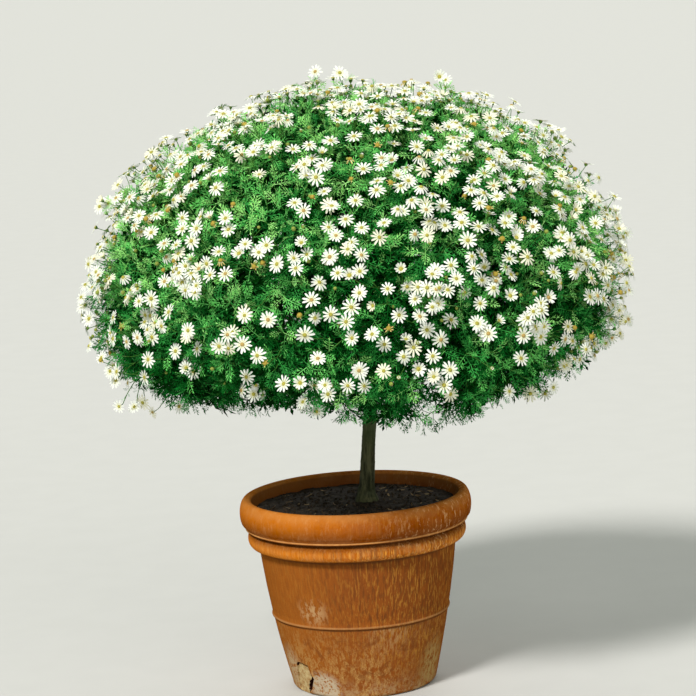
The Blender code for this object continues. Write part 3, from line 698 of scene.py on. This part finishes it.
def soil_level(x, y):
    """The soil's mound with its lumps."""
    away = math.hypot(x - TRUNK_FOOT_X, y)
    edge = math.hypot(x, y) / SOIL_EDGE_RADIUS
    mound = SOIL_MOUND * math.sin(math.pi * min(edge, 1))
    fall = (SOIL_EDGE_LEVEL - SOIL_LEVEL) * edge**2
    lumps = 0.003 * noise.noise(Vector((x, y, 0)) * 34) + 0.0016 * noise.noise(Vector((x, y, 3)) * 110)
    near = 0.006 * math.exp(-((away / 0.045) ** 2))
    return SOIL_LEVEL + fall + mound * 0.6 + lumps + near


def on_soil(places, raised=0.0):
    """The points on the soil at rows of x and y, raised a little or not."""
    level = np.array([soil_level(x, y) for x, y in places])
    return np.column_stack([places, level + raised])


def strewn(count, innermost, margin):
    """Random places on the soil, as rows of x and y."""
    reach = (SOIL_EDGE_RADIUS - margin) * np.sqrt(chance.uniform(innermost, 1, count))
    return around(reach, chance.uniform(0, 2 * np.pi, count), 0)[:, :2]


def make_soil():
    reach = (SOIL_EDGE_RADIUS - 0.0006) * np.arange(1, SOIL_RINGS + 1)[:, None] / SOIL_RINGS
    places = around(reach, ring_angles(SOIL_TURNS), 0)[..., :2].reshape(-1, 2)
    make_piece(
        "potting_soil",
        on_soil(np.concatenate([[(0.0, 0.0)], places])),
        np.concatenate([
            fan_faces(0, 1, SOIL_TURNS), ring_faces(SOIL_RINGS, SOIL_TURNS)[:, ::-1] + 1
        ]),
        potting_soil("potting soil", (0.012, 0.008, 0.005), (0.05, 0.034, 0.021)),
        "soil",
        ("soil",),
        True,
    )
    lump = bmesh.new()
    bmesh.ops.create_icosphere(lump, subdivisions=1, radius=1)
    points = np.array([v.co for v in lump.verts])
    faces = np.array([[v.index for v in f.verts] for f in lump.faces])
    lump.free()
    places = strewn(CRUMB_COUNT, 0, 0.008)
    places = places[np.hypot(places[:, 0] - TRUNK_FOOT_X, places[:, 1]) > FOOT_RADIUS + 0.004]
    count = len(places)
    size = chance.uniform(0.0012, 0.0042, count) * chance.uniform(0.5, 1, count)
    turns = turned_frames(chance.normal(size=(count, 3)), chance.uniform(0, 6, count))
    turns = turns * chance.uniform(0.65, 1.2, (count, 1, 3))
    crumbs = Batch()
    crumbs.add_copies((points, faces), on_soil(places, size * 0.35), turns, size)
    look = potting_soil("soil crumbs", (0.018, 0.012, 0.007), (0.085, 0.058, 0.036))
    crumbs.finish("soil_crumbs", look, "soil")
    # fallen petals and dry leaf chips
    along = np.linspace(-1, 1, 5)
    width = 0.26 * np.sqrt(np.clip(1.05 - along**2, 0, None))
    curl = 0.18 * along**2
    points = np.concatenate([
        np.stack([along, -width, curl], -1), np.stack([along, width, curl * 0.6], -1)
    ])
    faces = np.array([t for i in range(4) for t in ((i, i + 1, i + 6), (i, i + 6, i + 5))])
    places = strewn(CHIP_COUNT, 0.04, 0.02)
    size = chance.uniform(0.005, 0.011, CHIP_COUNT)
    upright = (0.0, 0.0, 1.0) + chance.normal(size=(CHIP_COUNT, 3)) * 0.28
    turns = turned_frames(upright, chance.uniform(0, 6, CHIP_COUNT))
    chips = Batch()
    chips.add_copies((points, faces), on_soil(places, 0.0018), turns, size)
    chips.finish("leaf_litter", leafy("dry litter", (0.36, 0.25, 0.13), (0.2, 0.13, 0.07), 0.8), "soil")


# ---- limbs


def trunk_axis(level):
    return np.array((TRUNK_FOOT_X + TRUNK_LEAN * max(level - SOIL_LEVEL - 0.02, 0), 0.0, level))


def bark_swell(length, angle, scars):
    """Fibrous ridges along a limb, and raised scars round it where leaves have been."""
    side = Vector((math.cos(angle), math.sin(angle), 0))
    fibre = noise.noise(side * 3.4 + Vector((0, 0, length * 13)))
    fine = noise.noise(side * 9 + Vector((0, 0, length * 46 + 7)))
    twist = length + 0.0045 * noise.noise(side * 1.3 + Vector((0, 0, length * 30)))
    scar = max(0.0, math.cos(2 * math.pi * twist / scars)) ** 10
    return fibre + 0.45 * fine + 0.55 * scar


def add_limb(batch, points, radii, sides, relief, scars):
    points = np.asarray(points)
    along = unit(np.gradient(points, axis=0))
    helper = (0.0, 1.0, 0.0) if abs(along[0][1]) < 0.8 else (1.0, 0.0, 0.0)
    first = unit(np.cross(along, helper))[:, None]
    second = np.cross(along, first[:, 0])[:, None]
    travelled = np.concatenate([[0], np.cumsum(np.linalg.norm(np.diff(points, axis=0), axis=1))])
    angle = ring_angles(sides)
    swell = np.array([[bark_swell(length, a, scars) for a in angle] for length in travelled])
    rings = points[:, None] + (radii[:, None] + relief * swell)[..., None] * spun(angle, first, second)
    tip = len(points) * sides
    faces = [ring_faces(len(points), sides)[:, ::-1], fan_faces(tip, tip - sides, sides)[:, [0, 2, 1]]]
    batch.add(np.concatenate([rings.reshape(-1, 3), points[-1:]]), np.concatenate(faces))


def mass_middles():
    """Each mass's name, and the azimuth and rise of its middle."""
    rings = ("upper", UPPER_MASSES, UPPER_EDGE + TOP_EDGE), ("lower", LOWER_MASSES, LOWER_EDGE + UPPER_EDGE)
    return [("top", -math.pi / 2, math.pi / 2)] + [
        (f"{ring}_{i + 1}", 2 * math.pi * i / count - math.pi / 2, edges / 2)
        for ring, count, edges in rings
        for i in range(count)
    ]


def skirt(azimuth):
    return np.interp(np.degrees(azimuth) % 360, SKIRT_TURNS, SKIRT_DEPTHS)


def crown_points(azimuth, rise, share, drop=None):
    """Points in the crown, share being 0 at its centre and 1 at its outline."""
    azimuth, rise, share = (np.asarray(v, float) for v in (azimuth, rise, share))
    drop = CROWN_DROP * skirt(azimuth) if drop is None else drop
    reach = np.abs(np.cos(rise)) ** (2 / CROWN_FULLNESS) * CROWN_RADIUS
    level = np.abs(np.sin(rise)) ** (2 / CROWN_FULLNESS) * np.where(rise > 0, CROWN_RISE, -drop)
    wave = np.sin(3 * azimuth + 0.6) + np.sin(5 * azimuth + 3 * rise - 2)
    share = share * (1 + CROWN_LOBE * wave * np.cos(rise))
    return CROWN_CENTRE + share[..., None] * around(reach, azimuth, level)


def crown_places(points):
    """The azimuth and rise of points, and their share of the way out."""
    out = points - CROWN_CENTRE
    reach = (np.hypot(out[..., 0], out[..., 1]) / CROWN_RADIUS) ** (CROWN_FULLNESS / 2)
    azimuth = np.arctan2(out[..., 1], out[..., 0])
    height = np.where(out[..., 2] > 0, CROWN_RISE, CROWN_DROP * skirt(azimuth))
    level = (np.abs(out[..., 2]) / height) ** (CROWN_FULLNESS / 2)
    rise = np.copysign(np.arctan2(level, reach), out[..., 2])
    outline = crown_points(azimuth, rise, np.ones(rise.shape)) - CROWN_CENTRE
    return azimuth, rise, np.linalg.norm(out, axis=-1) / np.linalg.norm(outline, axis=-1)


def pushed(points, share):
    """The points moved straight out or in to a share of the way."""
    azimuth, rise, _ = crown_places(points)
    return crown_points(azimuth, rise, share)


def outward(points):
    """The way straight out of the crown's surface at points."""
    out = points - CROWN_CENTRE
    height = np.where(out[..., 2:] > 0, CROWN_RISE, 0.4)
    return unit(np.concatenate([out[..., :2] / CROWN_RADIUS**2, out[..., 2:] / height**2], -1))


def make_limbs():
    """Trunk, and boughs with the stems that go on from them. Returns each stem's curve."""
    batch = Batch()
    heights, radii = (np.array(v) for v in zip(*TRUNK_SECTIONS))
    rows = np.linspace(heights[0], heights[-1], 150)
    line = [trunk_axis(level) for level in rows]
    add_limb(batch, line, np.interp(rows, heights, radii), 40, 0.0011, 0.019)
    stems = []
    share = np.linspace(0, 1, BOUGH_STEPS)
    for name, azimuth, rise in mass_middles():
        end = crown_points(azimuth, rise, BOUGH_END, CROWN_DROP)
        if name == "top":
            start, base = trunk_axis(TRUNK_TOP - 0.012), TRUNK_TOP_RADIUS * 0.98
            leave = trunk_axis(TRUNK_TOP) - trunk_axis(HEAD_LEVEL)
        else:
            above, steepness = UPPER_LEAVE if name.startswith("upper") else LOWER_LEAVE
            number = int(name.split("_")[1])
            start = trunk_axis(HEAD_LEVEL + above + BOUGH_STAGGER * (number % 3 - 1))
            base = BOUGH_RADIUS
            leave = np.array((*unit((end - start)[:2]), steepness))
        arrive = crown_points(azimuth, rise, 1.0, CROWN_DROP) - CROWN_CENTRE
        bough = bezier(start[None], leave[None], end[None], arrive[None], BOUGH_STEPS)[0]
        far = crown_points(azimuth, rise, STEM_END)[None]
        stem = bezier(end[None], (bough[-1] - bough[-2])[None], far, outward(far), STEM_STEPS)[0]
        stems.append(stem)
        radius = (base + (BOUGH_TIP_RADIUS - base) * share) * (1 + 0.28 * np.exp(-share / 0.1))
        thinner = np.linspace(BOUGH_TIP_RADIUS, STEM_TIP_RADIUS, STEM_STEPS)
        line, radius = np.concatenate([bough, stem[1:]]), np.concatenate([radius, thinner[1:]])
        add_limb(batch, line, radius, 12, 0.00055, 0.021)
    nodes = ["trunk"] + ["bough_" + name for name, _, _ in mass_middles()]
    batch.finish("trunk_and_boughs", bark(), "bark", nodes, True)
    return stems


# ---- twigs


def gathered(points, tips_each, fewest):
    """The middles of groups of neighbours among points."""
    count = max(fewest, round(len(points) / tips_each))
    middles = points[np.linspace(0, len(points) - 1, count).astype(int)]
    for _ in range(12):
        group = nearest(points, middles)
        for i in range(count):
            if (group == i).any():
                middles[i] = points[group == i].mean(axis=0)
    return middles


def hollows(azimuth, rise):
    """How far the crown's surface sinks between its sprays, in shares of its size."""
    points = crown_points(azimuth, rise, 1.0) * HOLLOWS_A_METRE
    swell = np.array([noise.noise(Vector(point)) for point in points])
    depth = HOLLOW_DEPTH * np.clip((0.16 - swell) / 0.55, 0, 1) ** 1.5
    for bay_azimuth, bay_rise, width, sunk in BAYS:
        aside = (np.degrees(azimuth) - bay_azimuth + 180) % 360 - 180
        away = (aside / (1.6 * width)) ** 2 + ((np.degrees(rise) - bay_rise) / width) ** 2
        depth = depth + sunk * np.exp(-away)
    return depth + TOP_SINK * np.clip(np.sin(rise), 0, 1) ** 3


def shoot_tips():
    """Places on the crown for the shoots' tips, evenly spread and then stirred a little."""
    number = np.arange(SHOOT_COUNT)
    lowest = -LOWEST_SHOOT * CROWN_DROP
    level = lowest + (CROWN_RISE - lowest) * (number + 0.5) / SHOOT_COUNT
    tall = np.abs(level) / np.where(level > 0, CROWN_RISE, CROWN_DROP)
    rise = np.copysign(np.arcsin(np.minimum(tall ** (CROWN_FULLNESS / 2), 1)), level)
    azimuth = number * GOLDEN_TURN + chance.normal(size=SHOOT_COUNT) * 0.02
    rise = rise + chance.normal(size=SHOOT_COUNT) * 0.02
    share = chance.uniform(*SHOOT_SHARES, SHOOT_COUNT)
    return azimuth, rise, np.minimum(share * (1 - hollows(azimuth, rise)), FURTHEST_SHOOT)


def mass_numbers(azimuth, rise):
    """The number of the mass that each place lies in, in the order of mass_middles()."""
    upper, lower = (
        np.round((azimuth + math.pi / 2) / (2 * math.pi / count)) % count
        for count in (UPPER_MASSES, LOWER_MASSES)
    )
    ring = np.where(rise > UPPER_EDGE, 1 + upper, 1 + UPPER_MASSES + lower)
    return np.where(rise > TOP_EDGE, 0, ring).astype(int)


def fork(batch, parents, ends, part, eager, lift, radii, steps, sides, stir=0.0):
    """Limbs that leave each parent somewhere in a part of its length and end facing out and up."""
    starts, leaves = along_curves(parents, chance.uniform(*part, len(ends)))
    arrive = outward(ends) + (0, 0, lift)
    if stir:
        arrive = arrive + stir * chance.normal(size=ends.shape)
    curves = bezier(starts, leaves + eager * unit(ends - starts), ends, arrive, steps)
    batch.add_tubes(curves, *radii, sides)
    return curves


def grow(stems):
    """Branches from the stems, sprigs from the branches and shoots from the sprigs."""
    azimuth, rise, share = shoot_tips()
    tips = crown_points(azimuth, rise, share)
    masses = mass_numbers(azimuth, rise)
    wood, green = Batch(), Batch()
    shoots, sprigs, limbs = [], [], []
    for number, stem in enumerate(stems):
        own = tips[masses == number]
        ends = pushed(gathered(own, TIPS_A_BRANCH, 3), BRANCH_SHARE)
        parents = np.repeat(stem[None], len(ends), 0)
        limbs.append(fork(wood, parents, ends, (0.25, 0.95), 1.0, 0.2, (0.003, 0.002), 9, 5))
        middles = gathered(own, TIPS_A_SPRIG, 4)
        ends = pushed(middles, SPRIG_SHARE)
        parents = limbs[-1][nearest(middles, limbs[-1][:, -1])]
        sprigs.append(fork(wood, parents, ends, (0.35, 1.0), 0.8, 0.25, (0.0021, 0.0015), 8, 4))
        parents = sprigs[-1][nearest(own, sprigs[-1][:, -1])]
        shoots.append(fork(green, parents, own, (0.3, 1.0), 0.9, 0.28, (0.0015, 0.0009), 6, 3, 0.22))
    # last, the long shoots of the stray daisies
    lines = np.concatenate(shoots)
    lines = lines[nearest(STRAY_DAISIES, lines[:, -1])]
    starts, leaves = along_curves(lines, np.full(len(lines), 0.4))
    way = unit(STRAY_DAISIES - starts)
    shoots.append(bezier(starts, leaves, STRAY_DAISIES - 0.024 * way, way - (0, 0, 0.25), 6))
    green.add_tubes(shoots[-1], 0.0013, 0.0009, 3)
    return np.concatenate(shoots), np.concatenate(sprigs), np.concatenate(limbs), wood, green


# ---- leaves


class Leaf:
    """A leaf along +Y, one long, cut into pairs of lobes on both sides of its rib."""

    def __init__(self, kind, stations, rib_half, pairs, half, toothed, end, end_length, end_half):
        self.vary = np.random.default_rng(100 + kind)
        self.arch = self.vary.uniform(0.05, 0.32)
        self.sway = self.vary.uniform(-0.07, 0.07)
        self.points, self.faces = [], []
        for t in stations:
            width = np.array((rib_half * (1 - 0.5 * t), 0, 0))
            self.points += [self.rib(t) - width, self.rib(t) + width]
        for a in range(0, 2 * len(stations) - 2, 2):
            self.faces += [(a, a + 1, a + 3), (a, a + 3, a + 2)]
        for t, length, spread in pairs:
            for sign in (-1, 1):
                root = self.rib(t + self.vary.uniform(-0.025, 0.025))
                turn = math.radians(spread + self.vary.uniform(-8, 8))
                way = np.array((sign * math.sin(turn), math.cos(turn), -0.35 * self.arch))
                reach = length * self.vary.uniform(0.85, 1.15)
                self.add_lobe(root, way, reach, half, self.vary.uniform(0.0, 0.25), length > toothed)
        self.add_lobe(self.rib(end), self.rib(1.0) - self.rib(end), end_length, end_half, 0.0, toothed < 1)

    def rib(self, t):
        arch = self.arch
        return np.array((self.sway * math.sin(math.pi * t), t * (1 - 0.25 * arch * t), -arch * t * t))

    def add_lobe(self, root, way, length, half, lift, toothed):
        """A kite folded a little along its middle, with a slim tooth on each side or none."""
        way = way / np.linalg.norm(way)
        side = np.array((-way[1], way[0], 0.0))
        wide, fold, tip = 0.55 * length, 0.4 * (lift * length + half), (lift - 0.12) * length
        corners = [(0, 0, 0), (wide, half, fold), (length, 0, tip), (wide, -half, fold)]
        triangles = [(0, 3, 2), (0, 2, 1)]
        if toothed:
            foot = 0.34 * length
            for out in (-1, 1):
                corners += [(foot, out * 0.3 * half, 0), (foot + 2.4 * half, out * 0.5 * half, 0)]
                corners.append((0.72 * length, out * 0.36 * length, 0.5 * lift * length))
            triangles += [(4, 5, 6), (7, 9, 8)]
        self.faces += (np.array(triangles) + len(self.points)).tolist()
        self.points += [root + x * way + y * side + (0, 0, z) for x, y, z in corners]

    def finish(self):
        return np.array(self.points), np.array(self.faces)


def leaf_frames(directions, uppers, rolls):
    """Rotations that lay a leaf along each direction with its face towards the upper side."""
    second = unit(directions)
    third = unit(uppers - (uppers * second).sum(-1, keepdims=True) * second)
    first = np.cross(second, third)
    return np.stack([spun(rolls, first, -third), second, spun(rolls, third, first)], -1)


def leaves_on(curves, count, first, turn_in, small, grown):
    """Roots, rotations and lengths of the leaves round each of many shoots, tip first."""
    order = np.arange(count)
    shape = len(curves), count
    shares = 1 - (1 - first) * order / (count - 1) + chance.uniform(-0.02, 0.02, shape)
    roots, along = along_curves(curves, np.clip(shares, 0.02, 1))
    side = unit(np.cross(along, off_axis(along)))
    turn = GOLDEN_TURN * order + chance.uniform(0, 6.28, (len(curves), 1))
    turn = turn + chance.normal(size=shape) * 0.25
    opening = np.radians(turn_in + (OPEN_LEAF - turn_in) * (1 - np.exp(-order / LEAF_OPENING)))
    opening = opening + chance.normal(size=shape) * 0.16
    way = spun(opening, along, spun(turn, side, np.cross(along, side)))
    length = small + grown * (1 - np.exp(-order / LEAF_RIPENING))
    length = length * chance.uniform(0.82, 1.15, shape)
    # keep the leaves' tips inside the crown's outline
    here, there = crown_places(roots)[2], crown_places(roots + way * length[..., None])[2]
    room = np.clip((LEAF_REACH - here) / np.maximum(there - here, 1e-6), 0.3, 1)
    length = np.where(there > LEAF_REACH, length * room, length)
    return roots, leaf_frames(way, along, chance.normal(size=shape) * 0.35), length


def leaf_tints(tips):
    """How much in the light each shoot is: 0 the most and 3 the least."""
    x, y, z = tips.T
    patch = np.sin(9 * x + 4 * z) + np.sin(8 * y - 11 * z + 1)
    left = -(x - CROWN_CENTRE[0]) * 0.24 * np.clip((z - 0.72) / 0.3, 0, 1)
    low_left = 0.34 * np.clip((0.9 - z) / 0.14, 0, 1) * np.clip(-x / 0.2, 0, 1)
    value = (z - 0.62) / 0.7 + 0.1 * patch + left - low_left + chance.normal(size=len(tips)) * 0.2
    return np.digitize(-value, [-0.84, -0.46, -0.16])


def make_leaves(shoots, sprigs, limbs, masses):
    feathery, shaded = (
        [Leaf(kind, *form).finish() for kind in range(LEAF_KINDS)] for form in (FEATHERY_LEAF, SHADED_LEAF)
    )
    # one leaf green in lit and shaded copies, painted light and painted shade, from the sunniest to the
    # shaded
    greens = {
        "sunniest": ((0.43, 0.84, 0.29), (0.31, 0.74, 0.19)),
        "bright": ((0.215, 0.69, 0.18), (0.13, 0.57, 0.12)),
        "middling": ((0.051, 0.37, 0.074), (0.026, 0.25, 0.043)),
        "deep": ((0.005, 0.14, 0.019), (0.003, 0.1, 0.01)),
        "shaded": ((0.001, 0.045, 0.003), (0.001, 0.028, 0.002)),
    }
    batches = {name: Batch() for name in greens}

    def strew(name, shapes, leaves, kind, chosen=True):
        for k, shape in enumerate(shapes):
            own = chosen & (kind == k)
            if own.any():
                batches[name].add_copies(shape, *(rows[own] for rows in leaves))

    leaves = leaves_on(shoots, LEAVES_A_SHOOT, *YOUNG_WHORL, YOUNG_LEAF, LEAF_GROWTH)
    # the tip of a shoot is a tone lighter than its middle, and its foot a tone darker: painted light and
    # painted shade along the shoot
    tint = leaf_tints(shoots[:, -1])[:, None].repeat(LEAVES_A_SHOOT, 1)
    order = np.arange(LEAVES_A_SHOOT)
    change = chance.choice([-1, 0, 1], tint.shape, p=[0.12, 0.68, 0.2])
    tint = np.clip(tint - (order < 3) + (order > 5) + change, 0, 3)
    tint = np.where(order >= FEATHERY_LEAVES, 4, tint)
    kind = chance.integers(0, LEAF_KINDS, tint.shape)
    for number, name in enumerate(greens):
        strew(name, shaded if name == "shaded" else feathery, leaves, kind, tint == number)
    for curves, number in ((sprigs, LEAVES_A_SPRIG), (limbs, LEAVES_A_BRANCH)):
        leaves = leaves_on(curves, number, *OLD_WHORL, OLD_LEAF, OLD_LEAF_GROWTH)
        strew("shaded", shaded, leaves, chance.integers(0, LEAF_KINDS, leaves[2].shape))
    for name, batch in batches.items():
        batch.finish("leaves_" + name, leafy(name + " leaf", *greens[name]), "foliage", masses)


# ---- daisies


def ray_shapes(vary, count, lift, curl, length=1.0, width=1.0, missing=0.0):
    """The ray florets of a head whose face is +Z, one in radius: their cream feet, their blades."""
    feet, blades = ([], []), ([], [])
    for i in range(count):
        if vary.uniform() < missing:
            continue
        turn = 2 * math.pi * i / count + vary.uniform(-0.09, 0.09)
        reach = length * vary.uniform(0.88, 1.05)
        raised = lift + vary.uniform(-0.12, 0.12)
        out = np.array((math.cos(turn), math.sin(turn), 0.0))
        side = np.array((-out[1], out[0], vary.uniform(-0.25, 0.25))) * width
        rows = []
        for along, half, dip in RAY_SECTIONS:
            far = along * reach - RAY_ROOT
            level = math.sin(raised) * far + curl * far**2
            middle = out * (RAY_ROOT + math.cos(raised) * far) + (0, 0, level)
            rows.append((middle - side * half, middle - (0, 0, dip), middle + side * half))
        (left, _, right), low, middle, tip = rows
        notched = tip[0], tip[1] - 0.035 * out, tip[2]
        for (points, faces), corners, triangles in (
            (feet, [left, right, *low], RAY_FOOT_FACES),
            (blades, [*low, *middle, *notched], RAY_BLADE_FACES),
        ):
            faces.extend(np.array(triangles) + len(points))
            points.extend(corners)
    return tuple((np.array(points), np.array(faces)) for points, faces in (feet, blades))


def turned_shape(profile, sides):
    """A closed shape of revolution about Z from (radius, height) points, pointed at its last."""
    rings = np.array(profile[:-1])
    points = around(rings[:, :1], ring_angles(sides), rings[:, 1:]).reshape(-1, 3)
    tip = len(points)
    faces = [ring_faces(len(rings), sides), fan_faces(tip, tip - sides, sides)[:, [1, 2, 0]]]
    return np.concatenate([points, [(0, 0, profile[-1][1])]]), np.concatenate(faces)


def daisy_places(shoots):
    """The shoot that bears each daisy, where the daisy sits and the way it faces."""
    usual = len(shoots) - len(STRAY_DAISIES)
    tips = shoots[:usual, -1]
    ways = unit(tips - shoots[:usual, -2])
    azimuth, rise, _ = crown_places(tips)
    density = np.interp(rise, np.radians(BEARING_RISES), BEARING)
    right_shoulder = np.clip(tips[:, 0] / 0.4, 0, 1) * np.clip((rise - 0.45) / 0.3, 0, 1)
    density = density * (1 + 0.25 * tips[:, 0] + 0.4 * right_shoulder)
    clump = 1 - np.minimum(hollows(azimuth, rise) / HOLLOW_DEPTH, 1)
    # every so many shoots bear, which spreads the daisies more evenly than chance would
    turn = np.cumsum(density * (0.7 + 0.4 * clump)) + chance.uniform(0, 0.3, usual)
    bearing = np.diff(np.floor(turn), prepend=0) > 0
    number = np.where(bearing, chance.choice([1, 2, 3, 4], usual, p=[0.38, 0.34, 0.2, 0.08]), 0)
    source = np.repeat(np.arange(usual), number)
    rank = np.concatenate([np.arange(n) for n in number])
    base, together = tips[source], number[source]
    normal = outward(base)
    side = unit(np.cross(normal, (0.0, 0.0, 1.0)) + 1e-6)
    turn = chance.uniform(0, 2 * np.pi, usual)[source] + rank * SPRAY_TURN
    spread = spun(turn, side, np.cross(normal, side))
    aside = np.where(together > 1, SPRAY_REACH, LONE_REACH) + chance.uniform(-0.003, 0.004, len(base))
    azimuth, rise, _ = crown_places(base + spread * aside[:, None] + ways[source] * HEAD_CLEAR)
    share = chance.uniform(*HEAD_SHARES, len(base)) - 0.008 * rank - 0.9 * hollows(azimuth, rise)
    # here and there a spray of daisies stands out from the rest
    proud = (together > 2) & (chance.uniform(size=usual) < 0.4)[source]
    share = share + PROUD * (proud & (rise < PROUD_BELOW))
    heads = crown_points(azimuth, rise, share)
    face = outward(heads)
    face[:, 2] = np.maximum(face[:, 2], -0.05) + 0.3 * np.clip(np.sin(rise), 0, 1)
    face = face + SUNWARD + 0.26 * spread * (together > 1)[:, None]
    face = unit(face + 0.24 * chance.normal(size=face.shape))
    stray_face = 0.5 * outward(STRAY_DAISIES) + STRAY_FACE
    stray_face = unit(stray_face + 0.25 * chance.normal(size=stray_face.shape))
    source = np.concatenate([source, np.arange(usual, len(shoots))])
    return source, np.concatenate([heads, STRAY_DAISIES]), np.concatenate([face, stray_face])


def make_daisies(shoots, green, masses):
    looks = {
        "rays_white": petal("white ray", (0.76, 0.78, 0.72), (0.71, 0.73, 0.66)),
        "rays_cream": petal("cream ray", (0.77, 0.76, 0.62), (0.71, 0.69, 0.54)),
        "ray_feet": petal("ray foot", (0.74, 0.74, 0.56), (0.68, 0.67, 0.46)),
        "rays_withered": petal("withered ray", (0.66, 0.52, 0.21), (0.46, 0.34, 0.11)),
        "discs_yellow": grainy("yellow disc", (0.52, 0.46, 0.095), (0.38, 0.345, 0.052)),
        "discs_ochre": grainy("ochre disc", (0.56, 0.42, 0.15), (0.44, 0.29, 0.085)),
        "discs_spent": grainy("spent disc", (0.6, 0.42, 0.07), (0.36, 0.27, 0.04)),
        "buds": grainy("bud", (0.36, 0.4, 0.085), (0.22, 0.28, 0.05), 500.0),
        "flower_cups": leafy("cup green", (0.2, 0.34, 0.08), (0.13, 0.25, 0.05), 0.6),
    }
    piece = {name: Batch() for name in looks}
    source, heads, face = daisy_places(shoots)
    count = len(heads)
    size = HEAD_SIZE * chance.uniform(0.86, 1.08, count)
    frames = turned_frames(face, chance.uniform(0, 6.28, count))

    def strew(name, shape, own):
        piece[name].add_copies(shape, heads[own], frames[own], size[own])

    vary = np.random.default_rng(SEED + 1)
    states = [[ray_shapes(vary, *kind) for kind in kinds] for kinds in HEAD_KINDS]
    _, rise, _ = crown_places(heads)
    aged = chance.uniform(size=count) < 0.055 + 0.04 * np.clip(rise, 0, 1)
    state = np.where(aged, OLD, chance.choice(OLD, count, p=[0.83, 0.085, 0.085]))
    pale = chance.uniform(size=count) < 0.14
    pick = chance.integers(0, 100, count)
    for number, kinds in enumerate(states):
        for k, (feet, blades) in enumerate(kinds):
            own = (state == number) & (pick % len(kinds) == k)
            strew("ray_feet", feet, own)
            strew("rays_withered" if number == OLD else "rays_white", blades, own & ~pale)
            strew("rays_withered" if number == OLD else "rays_cream", blades, own & pale)
    golden = chance.uniform(size=count) < 0.86
    strew("discs_yellow", turned_shape(DISC, 8), (state < OLD) & golden)
    strew("discs_ochre", turned_shape(DISC, 8), (state < OLD) & ~golden)
    strew("discs_spent", turned_shape(SWOLLEN_DISC, 8), state == OLD)
    strew("flower_cups", turned_shape(CUP, 5), state >= 0)
    roots, ways = along_curves(shoots[source], chance.uniform(0.82, 0.97, count))
    stalks = bezier(roots, ways, heads - face * (STALK_START * size)[:, None], face, 4)
    green.add_tubes(stalks, 0.001, 0.0009, 3)
    add_buds(shoots, green, piece, vary)
    for name, batch in piece.items():
        nodes = masses if name == "rays_white" else ()
        batch.finish(name, looks[name], "foliage", nodes, not name.startswith("ray"))


def add_buds(shoots, green, piece, vary):
    """Round buds on short stalks, some green and shut and some showing white."""
    bearer = chance.integers(0, len(shoots), BUD_COUNT)
    _, rise, _ = crown_places(shoots[bearer, -1])
    bearer = bearer[rise > LOWEST_BUD]
    count = len(bearer)
    base = shoots[bearer, -1]
    target = base + chance.normal(size=base.shape) * 0.014 + outward(base) * 0.02
    azimuth, rise, _ = crown_places(target)
    share = chance.uniform(*BUD_SHARES, count) - hollows(azimuth, rise)
    buds = crown_points(azimuth, rise, share)
    face = unit(outward(buds) + (0, 0, 0.5) + 0.3 * chance.normal(size=buds.shape))
    frames = turned_frames(face, chance.uniform(0, 6.28, count))
    size = chance.uniform(*BUD_SIZES, count)
    piece["buds"].add_copies(turned_shape(BUD, 8), buds, frames, size)
    own = chance.uniform(size=count) < 0.42
    _, (points, faces) = ray_shapes(vary, 8, 1.32, -0.35, 1.9, 2.4)
    tuft = points + (0, 0, 0.35), faces
    piece["rays_white"].add_copies(tuft, buds[own], frames[own], size[own])
    roots, ways = along_curves(shoots[bearer], chance.uniform(0.75, 0.97, count))
    green.add_tubes(bezier(roots, ways, buds - face * size[:, None] * 0.9, face, 5), 0.0009, 0.0008, 3)


# ---- stage


def make_stage():
    scene = bpy.context.scene
    camera = bpy.data.cameras.new("camera")
    camera.sensor_width = SENSOR
    camera.lens = SENSOR * FOCAL_PIXELS / IMAGE_PIXELS
    camera.clip_end = 2000
    scene.camera = placed("camera", camera)
    scene.camera.matrix_world = (
        Matrix.Translation(CAMERA_PLACE)
        @ Matrix.Rotation(math.radians(90 - CAMERA_DOWN), 4, "X")
        @ Matrix.Rotation(math.radians(CAMERA_ROLL), 4, "Z")
    )
    scene.world = bpy.data.worlds.new("sky")
    scene.world.use_nodes = True
    sky = scene.world.node_tree.nodes["Background"]
    sky.inputs["Color"].default_value = (0.88, 1.0, 0.88, 1)
    sky.inputs["Strength"].default_value = 0.34
    for name, energy, width, turn in LAMPS:
        lamp = bpy.data.lights.new(name, "SUN")
        lamp.energy = energy
        lamp.angle = math.radians(width)
        lamp.color = (1.0, 0.985, 0.94)
        placed(name, lamp).rotation_euler = [math.radians(angle) for angle in turn]
    look = Look("pale floor", 0.9, 0.2)
    look.dapple(look.noise(9, 3), 0.3, 0.7, (0.515, 0.51, 0.5), (0.525, 0.52, 0.51))
    work = bmesh.new()
    bmesh.ops.create_grid(work, x_segments=2, y_segments=2, size=400)
    floor = placed("floor", finished(work, "floor", look.finish()))
    floor.location.z = -0.0005
    scene.view_settings.view_transform = "Standard"


def main():
    make_stage()
    make_pot()
    make_soil()
    masses = ["foliage_" + name for name, _, _ in mass_middles()]
    shoots, sprigs, limbs, wood, green = grow(make_limbs())
    make_leaves(shoots, sprigs, limbs, masses)
    make_daisies(shoots, green, masses)
    wood.finish("branches", bark(), "bark", masses, True)
    stalk_green = leafy("green shoot", (0.09, 0.25, 0.045), (0.06, 0.18, 0.03), 0.6)
    green.finish("shoots", stalk_green, "foliage", masses, True)


main()
